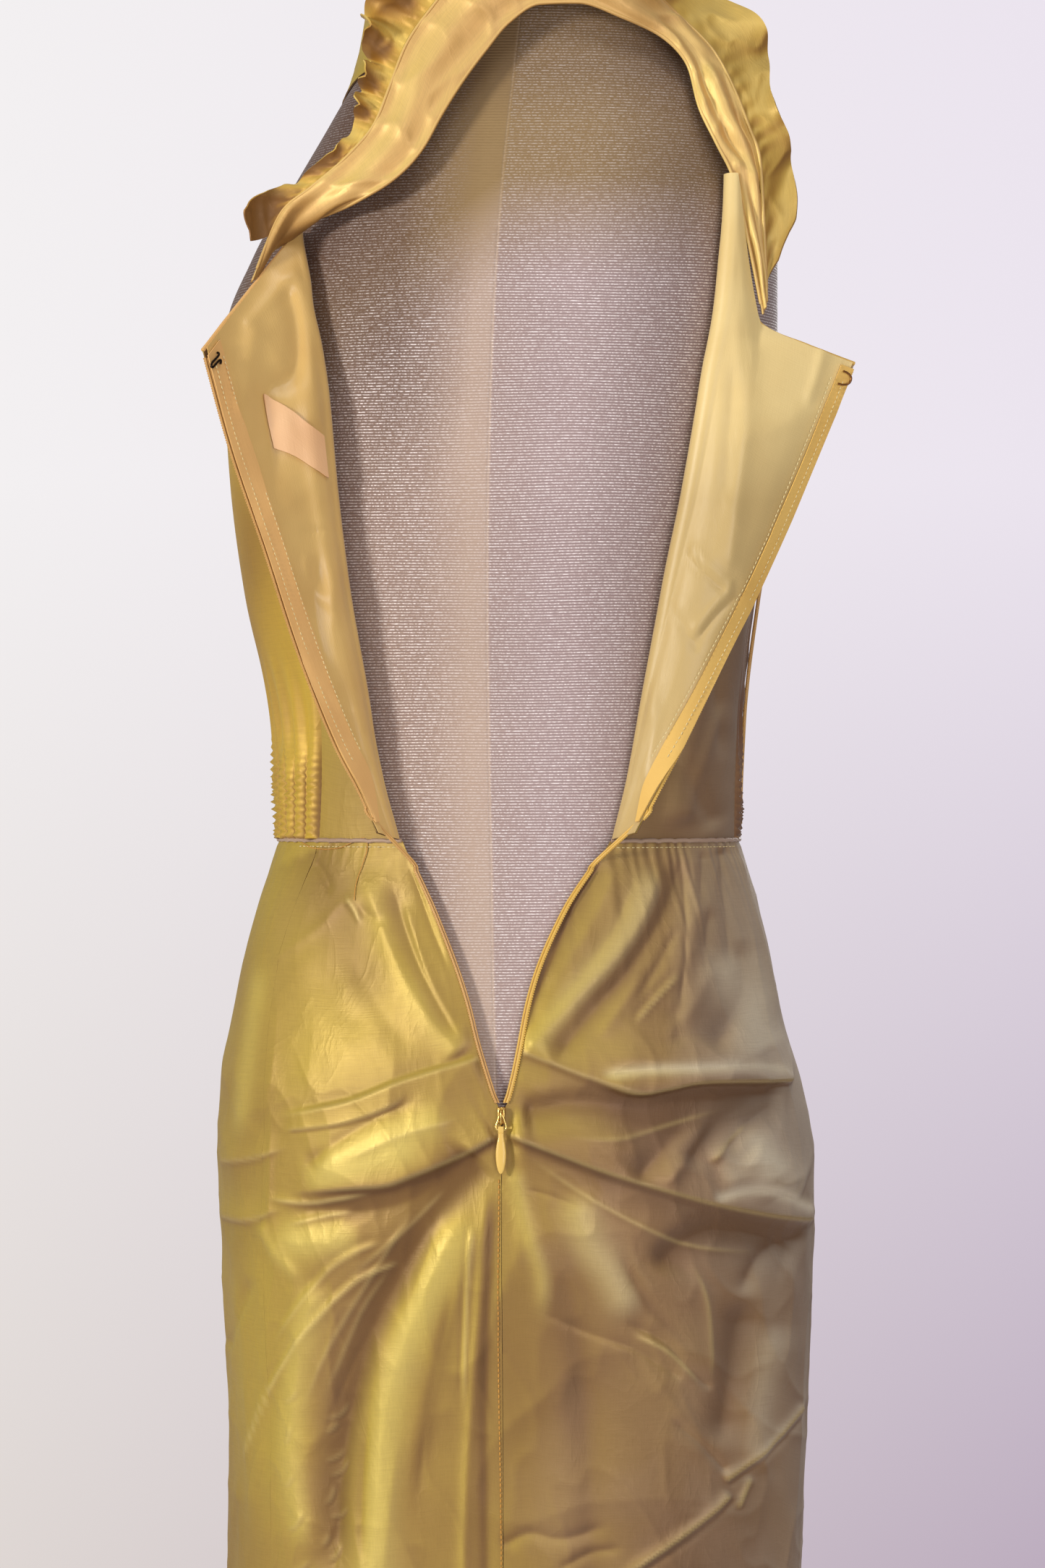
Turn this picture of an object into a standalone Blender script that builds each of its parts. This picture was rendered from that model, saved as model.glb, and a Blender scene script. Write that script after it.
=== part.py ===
# Silk taffeta dress on a limbless dress form, its back zip open and its backs folded outwards.
# Metres, +Z up. The back faces -Y, the wearer's right is +X, and the origin is the middle of
# the stand's underside. An angle round the body is 0 at the centre back and grows towards +X.
# A rise is a height above the waist seam, which lies at WAIST.

import math
from collections import namedtuple

import bmesh
import bpy
import numpy as np
from mathutils import Matrix, Vector

WAIST = 1.040
CLOTH = 0.0012          # taffeta
LINING = 0.0010
TAPE = 0.0010
BAND_WALL = 0.0016
SEAM_GAP = 0.0003
SEAM_TURN = math.radians(0.08)   # half a seam's gap, as an angle round the body
PIPING_RADIUS = 0.0015
TUBE_LIFT = 0.0008      # piping's centre beyond the middle of the cloth
ROUNDNESS = 1 / 1.1     # exponent of the body's rounded sections
BODY_SIDES = 32

WAIST_EDGE = PIPING_RADIUS + SEAM_GAP
EASE_SIDE = 0.0050      # form to the middle of the bodice's cloth, sides
EASE_BACK = 0.0048
EASE_FRONT_WAIST = 0.0017
EASE_FRONT = 0.0045

TAPE_GAP = 0.0006
SKIRT_TAPE_GAP = 0.0012
LINING_LIFT = CLOTH / 2 + SEAM_GAP + LINING / 2
TAPE_LIFT = LINING_LIFT + LINING / 2 + TAPE_GAP + TAPE / 2
SKIRT_TAPE_LIFT = CLOTH / 2 + SKIRT_TAPE_GAP + TAPE / 2
TAPE_WIDTH = 0.0125
OVAL_WIRE = 0.0005      # radius of the hook's and the eye's wire

LEFT_RIBS = 7           # puffs between the shirring's rows of stitches
RIGHT_RIBS = 5
SHIRRING_TOP = 0.085    # rise
SHIRRING_LIFT = 0.0016

POLE_RADIUS = 0.014
BAND_ROWS = 3
RUFFLE_WAVES = 14

Section = namedtuple('Section', 'rise left right back front')
Turned = namedtuple('Turned', 'height radius')
Opening = namedtuple('Opening', 'rise left right')
Seams = namedtuple('Seams', 'rise left right')
FoldLine = namedtuple('FoldLine', 'share angle rise roll')
ZipLine = namedtuple('ZipLine', 'share x y rise')
TopLine = namedtuple('TopLine', 'share x y rise')
FrontEdge = namedtuple('FrontEdge', 'share angle rise out')
TopEdge = namedtuple('TopEdge', 'share angle rise')
RuffleLine = namedtuple('RuffleLine', 'share width lean swing')
BandLine = namedtuple('BandLine', 'share low_x low_y low_rise top_x top_y top_rise')
Fold = namedtuple('Fold', 'x0 rise0 x1 rise1 bow lift above below valley')
Outline = namedtuple('Outline', 'down half')

# Half widths and depths of the dress form. Its two shoulders differ, as it stands turned.
FORM = [
    Section(-0.300, 0.128, 0.130, 0.100, 0.085),
    Section(-0.240, 0.146, 0.150, 0.112, 0.098),
    Section(-0.170, 0.150, 0.152, 0.116, 0.102),
    Section(-0.100, 0.144, 0.138, 0.106, 0.100),
    Section(-0.050, 0.134, 0.127, 0.093, 0.094),
    Section(0.000, 0.120, 0.1135, 0.083, 0.088),
    Section(0.060, 0.124, 0.115, 0.084, 0.096),
    Section(0.130, 0.139, 0.123, 0.090, 0.118),
    Section(0.180, 0.146, 0.132, 0.094, 0.127),
    Section(0.230, 0.150, 0.138, 0.097, 0.118),
    Section(0.270, 0.1545, 0.140, 0.098, 0.104),
    Section(0.310, 0.140, 0.140, 0.095, 0.092),
    Section(0.350, 0.1165, 0.137, 0.088, 0.078),
    Section(0.385, 0.096, 0.130, 0.076, 0.066),
    Section(0.415, 0.080, 0.100, 0.065, 0.060),
    Section(0.445, 0.0735, 0.0765, 0.058, 0.056),
    Section(0.475, 0.062, 0.063, 0.055, 0.055),
    Section(0.500, 0.058, 0.058, 0.054, 0.054),
    Section(0.530, 0.058, 0.058, 0.054, 0.054),
]

# More heights for the form's rings, where the dress lies close or the shoulders turn.
FORM_EXTRA = [-0.020, 0.020, 0.040, 0.095, 0.155, 0.205, 0.250, 0.290, 0.330, 0.367, 0.400, 0.430]

SKIRT = [
    Section(0.000, 0.1250, 0.1185, 0.0878, 0.0897),
    Section(-0.050, 0.1410, 0.1330, 0.0985, 0.1005),
    Section(-0.100, 0.1515, 0.1435, 0.1120, 0.1075),
    Section(-0.130, 0.1565, 0.1525, 0.1180, 0.1090),
    Section(-0.170, 0.1575, 0.1595, 0.1215, 0.1095),
    Section(-0.200, 0.1560, 0.1600, 0.1215, 0.1090),
    Section(-0.250, 0.1540, 0.1590, 0.1180, 0.1070),
    Section(-0.320, 0.1505, 0.1565, 0.1120, 0.1050),
    Section(-0.400, 0.1510, 0.1540, 0.1085, 0.1040),
    Section(-0.500, 0.1500, 0.1515, 0.1060, 0.1040),
    Section(-0.620, 0.1490, 0.1500, 0.1050, 0.1040),
]

STAND_BASE = [
    Turned(0.000, 0.176),
    Turned(0.004, 0.180),
    Turned(0.014, 0.180),
    Turned(0.020, 0.172),
    Turned(0.024, 0.120),
    Turned(0.030, 0.030),
    Turned(0.055, 0.024),
]

# The skirt's open edges above the zip's end, then its centre back seam, in degrees.
SKIRT_OPENING = [
    Opening(0.000, -22.0, 26.4),
    Opening(-0.035, -12.6, 13.8),
    Opening(-0.066, -6.9, 7.6),
    Opening(-0.085, -4.4, 5.5),
    Opening(-0.102, -2.8, 4.3),
    Opening(-0.119, -1.1, 3.1),
    Opening(-0.131, 0.0, 2.1),
    Opening(-0.139, 0.75, 1.25),
    Opening(-0.155, 0.92, 1.08),
    Opening(-0.620, 0.92, 1.08),
]
ZIP_END = -0.134

SKIRT_SEAMS = [
    Seams(0.000, -49.5, 82.0),
    Seams(-0.060, -53.5, 83.0),
    Seams(-0.145, -50.0, 85.0),
    Seams(-0.200, -51.5, 86.0),
    Seams(-0.620, -52.0, 88.0),
]

# Side edges of the back panels: a seam up to the side panel's top, then the armhole.
BODICE_SEAMS = [
    Seams(0.000, -49.5, 82.0),
    Seams(0.070, -46.0, 82.0),
    Seams(0.130, -48.0, 81.0),
    Seams(0.200, -54.0, 76.0),
    Seams(0.250, -55.0, 66.0),
    Seams(0.290, -53.0, 59.0),
    Seams(0.330, -51.0, 56.0),
    Seams(0.350, -51.0, 56.5),
]
SIDE_LEFT_FAR = -92.0
SIDE_RIGHT_FAR = 111.0

LEFT_FOLD = [
    FoldLine(0.0, -46.0, 0.318, 0.0050),
    FoldLine(0.1, -36.5, 0.285, 0.0055),
    FoldLine(0.2, -33.0, 0.253, 0.0055),
    FoldLine(0.4, -31.5, 0.190, 0.0055),
    FoldLine(0.6, -30.3, 0.126, 0.0050),
    FoldLine(0.8, -29.0, 0.063, 0.0040),
    FoldLine(0.9, -26.8, 0.031, 0.0030),
    FoldLine(1.0, -23.0, WAIST_EDGE, 0.0020),
]
LEFT_ZIP = [
    ZipLine(0.0, -0.1470, -0.140, 0.250),
    ZipLine(0.2, -0.1340, -0.133, 0.200),
    ZipLine(0.4, -0.1180, -0.124, 0.150),
    ZipLine(0.6, -0.1025, -0.114, 0.099),
    ZipLine(0.8, -0.0835, -0.103, 0.048),
    ZipLine(0.9, -0.0720, -0.098, 0.025),
    ZipLine(1.0, -0.0630, -0.096, 0.004),
]
LEFT_TOP = [
    TopLine(0.00, -0.107, -0.092, 0.318),
    TopLine(0.50, -0.127, -0.114, 0.285),
    TopLine(1.00, -0.147, -0.140, 0.250),
]
RIGHT_FOLD = [
    FoldLine(0.0, 52.0, 0.346, 0.0045),
    FoldLine(0.1, 49.4, 0.310, 0.0050),
    FoldLine(0.2, 47.2, 0.2755, 0.0055),
    FoldLine(0.3, 44.0, 0.241, 0.0055),
    FoldLine(0.5, 40.3, 0.1725, 0.0055),
    FoldLine(0.7, 36.7, 0.104, 0.0050),
    FoldLine(0.9, 31.5, 0.0355, 0.0030),
    FoldLine(1.0, 27.2, WAIST_EDGE, 0.0020),
]
RIGHT_ZIP = [
    ZipLine(0.0, 0.182, -0.052, 0.248),
    ZipLine(0.2, 0.1615, -0.060, 0.198),
    ZipLine(0.4, 0.1405, -0.070, 0.148),
    ZipLine(0.6, 0.1175, -0.079, 0.098),
    ZipLine(0.8, 0.0945, -0.088, 0.049),
    ZipLine(0.9, 0.0820, -0.092, 0.025),
    ZipLine(1.0, 0.0715, -0.0950, 0.004),
]
RIGHT_TOP = [
    TopLine(0.00, 0.1180, -0.0800, 0.344),
    TopLine(0.12, 0.1235, -0.0815, 0.300),
    TopLine(0.22, 0.1310, -0.0805, 0.266),
    TopLine(0.60, 0.1560, -0.0700, 0.256),
    TopLine(1.00, 0.1820, -0.0520, 0.248),
]
# Rows of each back, by share down its fold, and the row at which its side panel starts.
LEFT_ROWS = [0, 0.05, 0.1, 0.16, 0.23, 0.31, 0.40, 0.5, 0.6, 0.7, 0.78, 0.85, 0.92, 1.0]
RIGHT_ROWS = [0, 0.05, 0.1, 0.16, 0.23, 0.31, 0.38, 0.45, 0.55, 0.65, 0.74, 0.83, 0.92, 1.0]
LEFT_PANEL_ROW = 6
RIGHT_PANEL_ROW = 7
Half = namedtuple('Half', 'fold zip top facing bulge')

# Right and left edges of the front, up the side, round the armhole and to the neck band.
FRONT_RIGHT = [
    FrontEdge(0.00, 111.4, WAIST_EDGE, 0.0),
    FrontEdge(0.30, 111.4, 0.120, 0.0),
    FrontEdge(0.50, 117.0, 0.200, 0.0),
    FrontEdge(0.64, 131.0, 0.270, 0.0),
    FrontEdge(0.76, 133.0, 0.330, 0.0),
    FrontEdge(0.86, 118.0, 0.375, 0.006),
    FrontEdge(0.94, 84.0, 0.410, 0.010),
    FrontEdge(0.97, 68.0, 0.417, 0.011),
    FrontEdge(1.00, 58.0, 0.442, 0.012),
]
FRONT_LEFT = [
    FrontEdge(0.00, 267.6, WAIST_EDGE, 0.0),
    FrontEdge(0.30, 267.6, 0.120, 0.0),
    FrontEdge(0.50, 262.0, 0.200, 0.0),
    FrontEdge(0.64, 246.0, 0.270, 0.0),
    FrontEdge(0.76, 242.0, 0.330, 0.0),
    FrontEdge(0.86, 252.0, 0.375, 0.002),
    FrontEdge(0.94, 292.0, 0.404, 0.008),
    FrontEdge(0.97, 316.0, 0.412, 0.013),
    FrontEdge(1.00, 327.0, 0.438, 0.016),
]
FRONT_TOP = [
    TopEdge(0.00, 58.0, 0.442),
    TopEdge(0.14, 95.0, 0.440),
    TopEdge(0.50, 180.0, 0.405),
    TopEdge(0.86, 290.0, 0.440),
    TopEdge(1.00, 327.0, 0.438),
]

# The neck band's two edges, from its left end, behind the neck, to its right end.
NECK_BAND = [
    BandLine(0.00, -0.1071, -0.0733, 0.3206, -0.1273, -0.1041, 0.2878),
    BandLine(0.06, -0.082, -0.090, 0.327, -0.113, -0.092, 0.326),
    BandLine(0.11, -0.063, -0.100, 0.335, -0.098, -0.093, 0.338),
    BandLine(0.16, -0.048, -0.100, 0.346, -0.079, -0.0935, 0.354),
    BandLine(0.20, -0.039, -0.098, 0.357, -0.065, -0.0915, 0.371),
    BandLine(0.25, -0.030, -0.0945, 0.374, -0.058, -0.087, 0.390),
    BandLine(0.30, -0.019, -0.0885, 0.393, -0.050, -0.081, 0.413),
    BandLine(0.35, -0.008, -0.0835, 0.409, -0.039, -0.078, 0.430),
    BandLine(0.41, 0.004, -0.080, 0.424, -0.020, -0.077, 0.451),
    BandLine(0.47, 0.020, -0.077, 0.434, 0.014, -0.077, 0.467),
    BandLine(0.53, 0.040, -0.0725, 0.435, 0.051, -0.070, 0.463),
    BandLine(0.59, 0.062, -0.0665, 0.428, 0.074, -0.058, 0.446),
    BandLine(0.65, 0.084, -0.058, 0.419, 0.090, -0.044, 0.432),
    BandLine(0.71, 0.099, -0.0575, 0.404, 0.109, -0.046, 0.412),
    BandLine(0.77, 0.1075, -0.064, 0.381, 0.120, -0.0525, 0.391),
    BandLine(0.82, 0.1170, -0.067, 0.362, 0.1276, -0.057, 0.3715),
    BandLine(0.87, 0.1238, -0.0660, 0.3444, 0.1332, -0.0585, 0.355),
    BandLine(0.94, 0.1286, -0.0688, 0.3054, 0.1356, -0.0630, 0.316),
    BandLine(1.00, 0.1352, -0.0697, 0.2724, 0.1372, -0.0680, 0.280),
]

# The ruffle along the band's top edge. Lean is its turn towards the back and swing the size
# of its waves, both in radians.
RUFFLE = [
    RuffleLine(0.035, 0.014, 0.7, 0.2),
    RuffleLine(0.060, 0.028, 0.6, 0.6),
    RuffleLine(0.100, 0.032, -0.4, 0.4),
    RuffleLine(0.160, 0.034, -0.7, 0.4),
    RuffleLine(0.205, 0.035, 0.1, 0.8),
    RuffleLine(0.260, 0.038, 0.9, 0.8),
    RuffleLine(0.470, 0.038, 0.6, 0.7),
    RuffleLine(0.590, 0.040, 0.3, 0.6),
    RuffleLine(0.670, 0.040, 0.1, 0.4),
    RuffleLine(0.770, 0.032, 0.4, 0.5),
    RuffleLine(0.820, 0.026, 0.9, 0.4),
    RuffleLine(0.880, 0.030, 0.6, 0.6),
    RuffleLine(0.950, 0.028, 0.5, 0.4),
    RuffleLine(0.985, 0.014, 0.6, 0.2),
]

# Tucks and large folds of the skirt's back, by their line across it. Each runs rightwards or
# down, is soft on its left hand side and drops fast on its right hand side.
SKIRT_FOLDS = [
    Fold(0.008, -0.106, 0.152, -0.126, -0.012, 0.0080, 0.020, 0.006, 0.0030),
    Fold(0.012, -0.153, 0.158, -0.198, -0.002, 0.0075, 0.013, 0.006, 0.0030),
    Fold(-0.144, -0.162, -0.006, -0.107, -0.002, 0.0080, 0.016, 0.006, 0.0030),
    Fold(-0.116, -0.176, -0.044, -0.141, 0.000, 0.0035, 0.009, 0.006, 0.0015),
    Fold(-0.147, -0.198, -0.004, -0.154, -0.004, 0.0075, 0.012, 0.007, 0.0035),
    Fold(0.020, -0.114, 0.088, -0.010, 0.000, 0.0035, 0.011, 0.011, 0.0010),
    Fold(-0.080, -0.028, -0.016, -0.112, 0.000, 0.0030, 0.011, 0.009, 0.0010),
    Fold(-0.155, -0.350, -0.066, -0.228, 0.010, 0.0035, 0.016, 0.010, 0.0015),
    Fold(0.058, -0.392, 0.164, -0.296, -0.006, 0.0040, 0.016, 0.012, 0.0015),
    Fold(-0.060, -0.215, -0.098, -0.600, 0.0, 0.0035, 0.020, 0.020, 0.0),
    Fold(0.070, -0.240, 0.090, -0.600, 0.0, 0.0030, 0.024, 0.024, 0.0),
    Fold(0.120, -0.330, 0.128, -0.600, 0.0, 0.0030, 0.020, 0.020, 0.0),
]
FOLD_ENDS = 0.16        # share of a fold's length over which it fades at each end
HEM_WAVE = 0.0035
HEM_WAVES = 7

SKIRT_ROWS = (
    [WAIST_EDGE] + [0.0225 * n for n in range(1, 5)]
    + [0.094 + 0.0083 * n for n in range(15)]
    + [0.230, 0.255, 0.285, 0.325, 0.375, 0.435, 0.500, 0.560, 0.620]
)

SLIDER_LENGTH = 0.0090
SLIDER_WIDTH = 0.0046
SLIDER_DEPTH = 0.0020
SLIDER_RISE = -0.1400
SLIDER_ANGLE = 1.0      # degrees
SLIDER_ROOM = 0.0012    # for the cloth's curve behind the slider
HINGE_LIFT = 0.0008     # pull's bar above the slider's face
PULL_WALL = 0.0010
BRIDGE_HALF = 0.0006
BRIDGE_INNER = 0.0026
BRIDGE_OUTER = 0.0036
BRIDGE_ROOM = 0.0017
BRIDGE_TOP = 0.0027
BRIDGE_ROOT = 0.0006    # how far its feet go into the slider
PULL_OUTLINE = [
    Outline(-0.0005, 0.0016),
    Outline(0.0005, 0.0019),
    Outline(0.0052, 0.0029),
    Outline(0.0062, 0.0022),
    Outline(0.0072, 0.0015),
    Outline(0.0085, 0.0015),
    Outline(0.0130, 0.0022),
    Outline(0.0190, 0.0027),
    Outline(0.0240, 0.0024),
    Outline(0.0275, 0.0015),
    Outline(0.0290, 0.0005),
]
PULL_HOLE = [Outline(0.0005, 0.0010), Outline(0.0052, 0.0019)]

YELLOW_SILK = (0.42, 0.33, 0.10, 1.0)
TAN_SILK = (0.32, 0.22, 0.12, 1.0)
PEACH = (0.78, 0.60, 0.34, 1.0)
TAPE_COLOUR = (0.76, 0.52, 0.30, 1.0)
JERSEY = (0.42, 0.34, 0.30, 1.0)
GOLD = (0.80, 0.66, 0.32, 1.0)
BRONZE = (0.16, 0.10, 0.05, 1.0)
STEEL = (0.50, 0.50, 0.52, 1.0)
WHITE_IRON = (0.75, 0.74, 0.72, 1.0)


def clear_scene():
    for thing in list(bpy.data.objects):
        bpy.data.objects.remove(thing, do_unlink=True)


def smooth(rows):
    # One function of a table's first column, smooth and without overshoot.
    kind = type(rows[0])
    table = np.array(sorted(rows, key=lambda row: row[0]), dtype=float)
    stops = table[:, 0]
    steps = np.diff(stops)[:, None]
    slopes = np.diff(table, axis=0) / steps
    tangents = np.vstack([slopes[:1], np.zeros_like(slopes[1:]), slopes[-1:]])
    before, after = slopes[:-1], slopes[1:]
    same_way = before * after > 0
    total = np.where(same_way, before + after, 1.0)
    tangents[1:-1] = np.where(same_way, 2 * before * after / total, 0.0)

    def at(place):
        place = min(max(place, stops[0]), stops[-1])
        low = min(int(np.searchsorted(stops, place, side='right')) - 1, len(stops) - 2)
        width = stops[low + 1] - stops[low]
        t = (place - stops[low]) / width
        value = (
            (2 * t ** 3 - 3 * t ** 2 + 1) * table[low]
            + (t ** 3 - 2 * t ** 2 + t) * width * tangents[low]
            + (3 * t ** 2 - 2 * t ** 3) * table[low + 1]
            + (t ** 3 - t ** 2) * width * tangents[low + 1]
        )
        return kind(*map(float, value))
    return at


form_at = smooth(FORM)
skirt_at = smooth(SKIRT)
opening_at = smooth(SKIRT_OPENING)
skirt_seams_at = smooth(SKIRT_SEAMS)
bodice_seams_at = smooth(BODICE_SEAMS)
front_right_at = smooth(FRONT_RIGHT)
front_left_at = smooth(FRONT_LEFT)
front_top_at = smooth(FRONT_TOP)
band_at = smooth(NECK_BAND)
ruffle_at = smooth(RUFFLE)
LEFT_HALF = Half(smooth(LEFT_FOLD), smooth(LEFT_ZIP), smooth(LEFT_TOP), 1, 0.004)
RIGHT_HALF = Half(smooth(RIGHT_FOLD), smooth(RIGHT_ZIP), smooth(RIGHT_TOP), -1, 0.003)


def ramp(value):
    value = min(max(value, 0.0), 1.0)
    return value * value * (3 - 2 * value)


def ring(section, angle, side_out=0.0, back_out=0.0, front_out=0.0):
    # A point of a rounded section at an angle, moved out by each direction's own amount.
    across, behind = math.sin(angle), math.cos(angle)
    half = (section.right if across > 0 else section.left) + side_out
    depth = section.back + back_out if behind > 0 else section.front + front_out
    return Vector((
        half * math.copysign(abs(across) ** ROUNDNESS, across),
        -depth * math.copysign(abs(behind) ** ROUNDNESS, behind),
        WAIST + section.rise,
    ))


def bodice_point(angle, rise, out=0.0):
    front = EASE_FRONT_WAIST + (EASE_FRONT - EASE_FRONT_WAIST) * ramp(rise / 0.08)
    return ring(form_at(rise), angle, EASE_SIDE + out, EASE_BACK + out, front + out)


def fold_lift(fold, x, rise):
    run, fall = fold.x1 - fold.x0, fold.rise1 - fold.rise0
    length = math.hypot(run, fall)
    along = ((x - fold.x0) * run + (rise - fold.rise0) * fall) / length ** 2
    if not 0 < along < 1:
        return 0.0
    side = ((rise - fold.rise0) * run - (x - fold.x0) * fall) / length
    side -= fold.bow * 4 * along * (1 - along)
    fade = ramp(along / FOLD_ENDS) * ramp((1 - along) / FOLD_ENDS)
    crest = fold.lift * math.exp(-(side / (fold.above if side > 0 else fold.below)) ** 2)
    trough = fold.valley * math.exp(-((side + 2 * fold.below) / fold.below) ** 2)
    return fade * (crest - trough)


def skirt_point(angle, rise):
    section = skirt_at(rise)
    plain = ring(section, angle)
    behind = math.cos(angle)
    keep = ramp((behind - 0.5) / 0.3) if math.sin(angle) < 0 else ramp((behind - 0.12) / 0.2)
    lift = keep * sum(fold_lift(fold, plain.x, rise) for fold in SKIRT_FOLDS) if keep else 0.0
    lift += (1 - keep) * HEM_WAVE * ramp(-rise / 0.6) * math.sin(HEM_WAVES * angle)
    return ring(section, angle, lift, lift, lift)


def between(start, end, share):
    return start + (end - start) * share


def skirt_panel(first, last):
    # A panel from one edge's angle to another's, by share across and by distance down.
    def surface(across, down):
        return skirt_point(math.radians(between(first(-down), last(-down), across)), -down)
    return surface


def bodice_panel(first, last):
    def surface(across, down):
        return bodice_point(math.radians(between(first(-down), last(-down), across)), -down)
    return surface


def back_point(half, across, down):
    # Across: 0 to 1 on the form from the side edge, 1 to 2 round the fold, 2 to 3 to the zip.
    line = half.fold(down)
    nose = math.radians(line.angle)
    on_form = bodice_point(nose, line.rise)
    ahead = bodice_point(nose + half.facing * 0.01, line.rise)
    tangent = (ahead - on_form).normalized()
    outward = Vector((tangent.y, -tangent.x, 0.0)) * half.facing
    base_end = nose - half.facing * line.roll / on_form.xy.length
    start = bodice_point(base_end, line.rise)
    zip_end = half.zip(down)
    edge = Vector((zip_end.x, zip_end.y, WAIST + zip_end.rise))
    leaving = edge - start - 2 * line.roll * outward
    whole_turn = math.atan2(leaving.dot(outward), leaving.dot(tangent)) % (2 * math.pi)
    turn = whole_turn * min(max(across - 1, 0), 1)
    rolled = start + line.roll * (tangent * math.sin(turn) + outward * (1 - math.cos(turn)))
    if across <= 1:
        seams = bodice_seams_at(line.rise)
        side = math.radians(seams.left if half.facing > 0 else seams.right)
        side += half.facing * SEAM_TURN
        return bodice_point(between(side, base_end, across), line.rise)
    if across <= 2:
        return rolled
    share = across - 2
    zip_top = half.zip(0)
    top, top_start = half.top(share), half.top(0)
    lifted = Vector((top.x, top.y, top.rise)) - between(
        Vector((top_start.x, top_start.y, top_start.rise)),
        Vector((zip_top.x, zip_top.y, zip_top.rise)), share)
    swell = half.bulge * math.sin(math.pi * share) * math.sin(math.pi * down)
    return between(rolled, edge, share) + lifted * (1 - down) + Vector((0, -swell, 0))


def flap_width(half, down):
    return (back_point(half, 3, down) - back_point(half, 2, down)).length


def front_point(across, down):
    # A patch between the front's four edges, all of them given on the body.
    def edge(row):
        return np.array([row.angle, row.rise])

    def low(share):
        return np.array([between(FRONT_RIGHT[0].angle, FRONT_LEFT[0].angle, share), WAIST_EDGE])
    right, left, top = front_right_at(1 - down), front_left_at(1 - down), front_top_at(across)
    corners = (
        (1 - across) * (1 - down) * edge(front_right_at(1)) + across * (1 - down) * edge(front_left_at(1))
        + (1 - across) * down * low(0) + across * down * low(1)
    )
    angle, rise = (
        (1 - across) * edge(right) + across * edge(left) + (1 - down) * edge(top) + down * low(across)
        - corners
    )
    out = right.out * ramp(1 - across / 0.25) + left.out * ramp((across - 0.75) / 0.25)
    return bodice_point(math.radians(angle), rise, out)


def band_point(across, down):
    line = band_at(across)
    top = Vector((line.top_x, line.top_y, WAIST + line.top_rise))
    low = Vector((line.low_x, line.low_y, WAIST + line.low_rise))
    bow = 0.0025 * math.sin(math.pi * down) * math.sin(math.pi * across)
    return between(top, low, down) + Vector((0, -bow, 0))


def point_and_normal(surface, across, down, reach, facing):
    # Facing 1 is for a surface whose shares grow with the body's angle and downwards.
    step = 1e-3
    lows = [max(value - step, limit[0]) for value, limit in zip((across, down), reach)]
    highs = [min(value + step, limit[1]) for value, limit in zip((across, down), reach)]
    sideways = surface(highs[0], down) - surface(lows[0], down)
    downward = surface(across, highs[1]) - surface(across, lows[1])
    return surface(across, down), downward.cross(sideways).normalized() * facing


def spread(start, end, count):
    return [between(start, end, n / count) for n in range(count + 1)]


def finish(name, bm, colour, rough, metal=0.0):
    bmesh.ops.recalc_face_normals(bm, faces=bm.faces)
    mesh = bpy.data.meshes.new(name)
    bm.to_mesh(mesh)
    bm.free()
    mesh.shade_smooth()
    mesh.set_sharp_from_angle(angle=math.radians(40))
    thing = bpy.data.objects.new(name, mesh)
    bpy.context.scene.collection.objects.link(thing)
    paint(thing, colour, rough, metal)
    return thing


def paint(thing, colour, rough, metal=0.0):
    material = bpy.data.materials.new(thing.name)
    material.use_nodes = True
    shader = material.node_tree.nodes['Principled BSDF']
    shader.inputs['Base Color'].default_value = colour
    shader.inputs['Roughness'].default_value = rough
    shader.inputs['Metallic'].default_value = metal
    thing.data.materials.append(material)


def cloth(name, surface, columns, rows, wall, colour, lift=0.0, facing=1, raised=None, rough=0.45):
    # A grid on the surface's inner side, extruded to its outer side.
    bm = bmesh.new()
    bmesh.ops.create_grid(bm, x_segments=len(columns) - 1, y_segments=len(rows) - 1, size=1)
    number = bm.verts.layers.int.new('number')
    reach = ((columns[0], columns[-1]), (rows[0], rows[-1]))
    outer = []
    for vert in bm.verts:
        across = columns[round((vert.co.x + 1) / 2 * (len(columns) - 1))]
        down = rows[round((vert.co.y + 1) / 2 * (len(rows) - 1))]
        middle, normal = point_and_normal(surface, across, down, reach, facing)
        bump = raised(across, down) if raised else 0.0
        vert[number] = len(outer)
        vert.co = middle + normal * (lift - wall / 2)
        outer.append(middle + normal * (lift + wall / 2 + bump))
    grown = bmesh.ops.extrude_face_region(bm, geom=bm.faces[:])
    for vert in grown['geom']:
        if isinstance(vert, bmesh.types.BMVert):
            vert.co = outer[vert[number]]
    return finish(name, bm, colour, rough)


def lofted(name, rings, colour, rough, metal=0.0):
    # A closed body through rings of points: a filled circle, extruded from ring to ring.
    bm = bmesh.new()
    bmesh.ops.create_circle(bm, cap_ends=True, radius=1, segments=len(rings[0]))
    number = bm.verts.layers.int.new('number')
    for index, vert in enumerate(bm.verts):
        vert[number] = index
        vert.co = rings[0][index]
    cap, inner_caps = bm.faces[:], []
    for points in rings[1:]:
        grown = bmesh.ops.extrude_face_region(bm, geom=cap)['geom']
        cap = [part for part in grown if isinstance(part, bmesh.types.BMFace)]
        inner_caps += cap
        for vert in grown:
            if isinstance(vert, bmesh.types.BMVert):
                vert.co = points[vert[number]]
    bmesh.ops.delete(bm, geom=inner_caps[:-1], context='FACES_ONLY')
    return finish(name, bm, colour, rough, metal)


def round_ring(height, radius, sides=BODY_SIDES):
    turns = [2 * math.pi * n / sides for n in range(sides)]
    return [Vector((radius * math.sin(turn), -radius * math.cos(turn), height)) for turn in turns]


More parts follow.
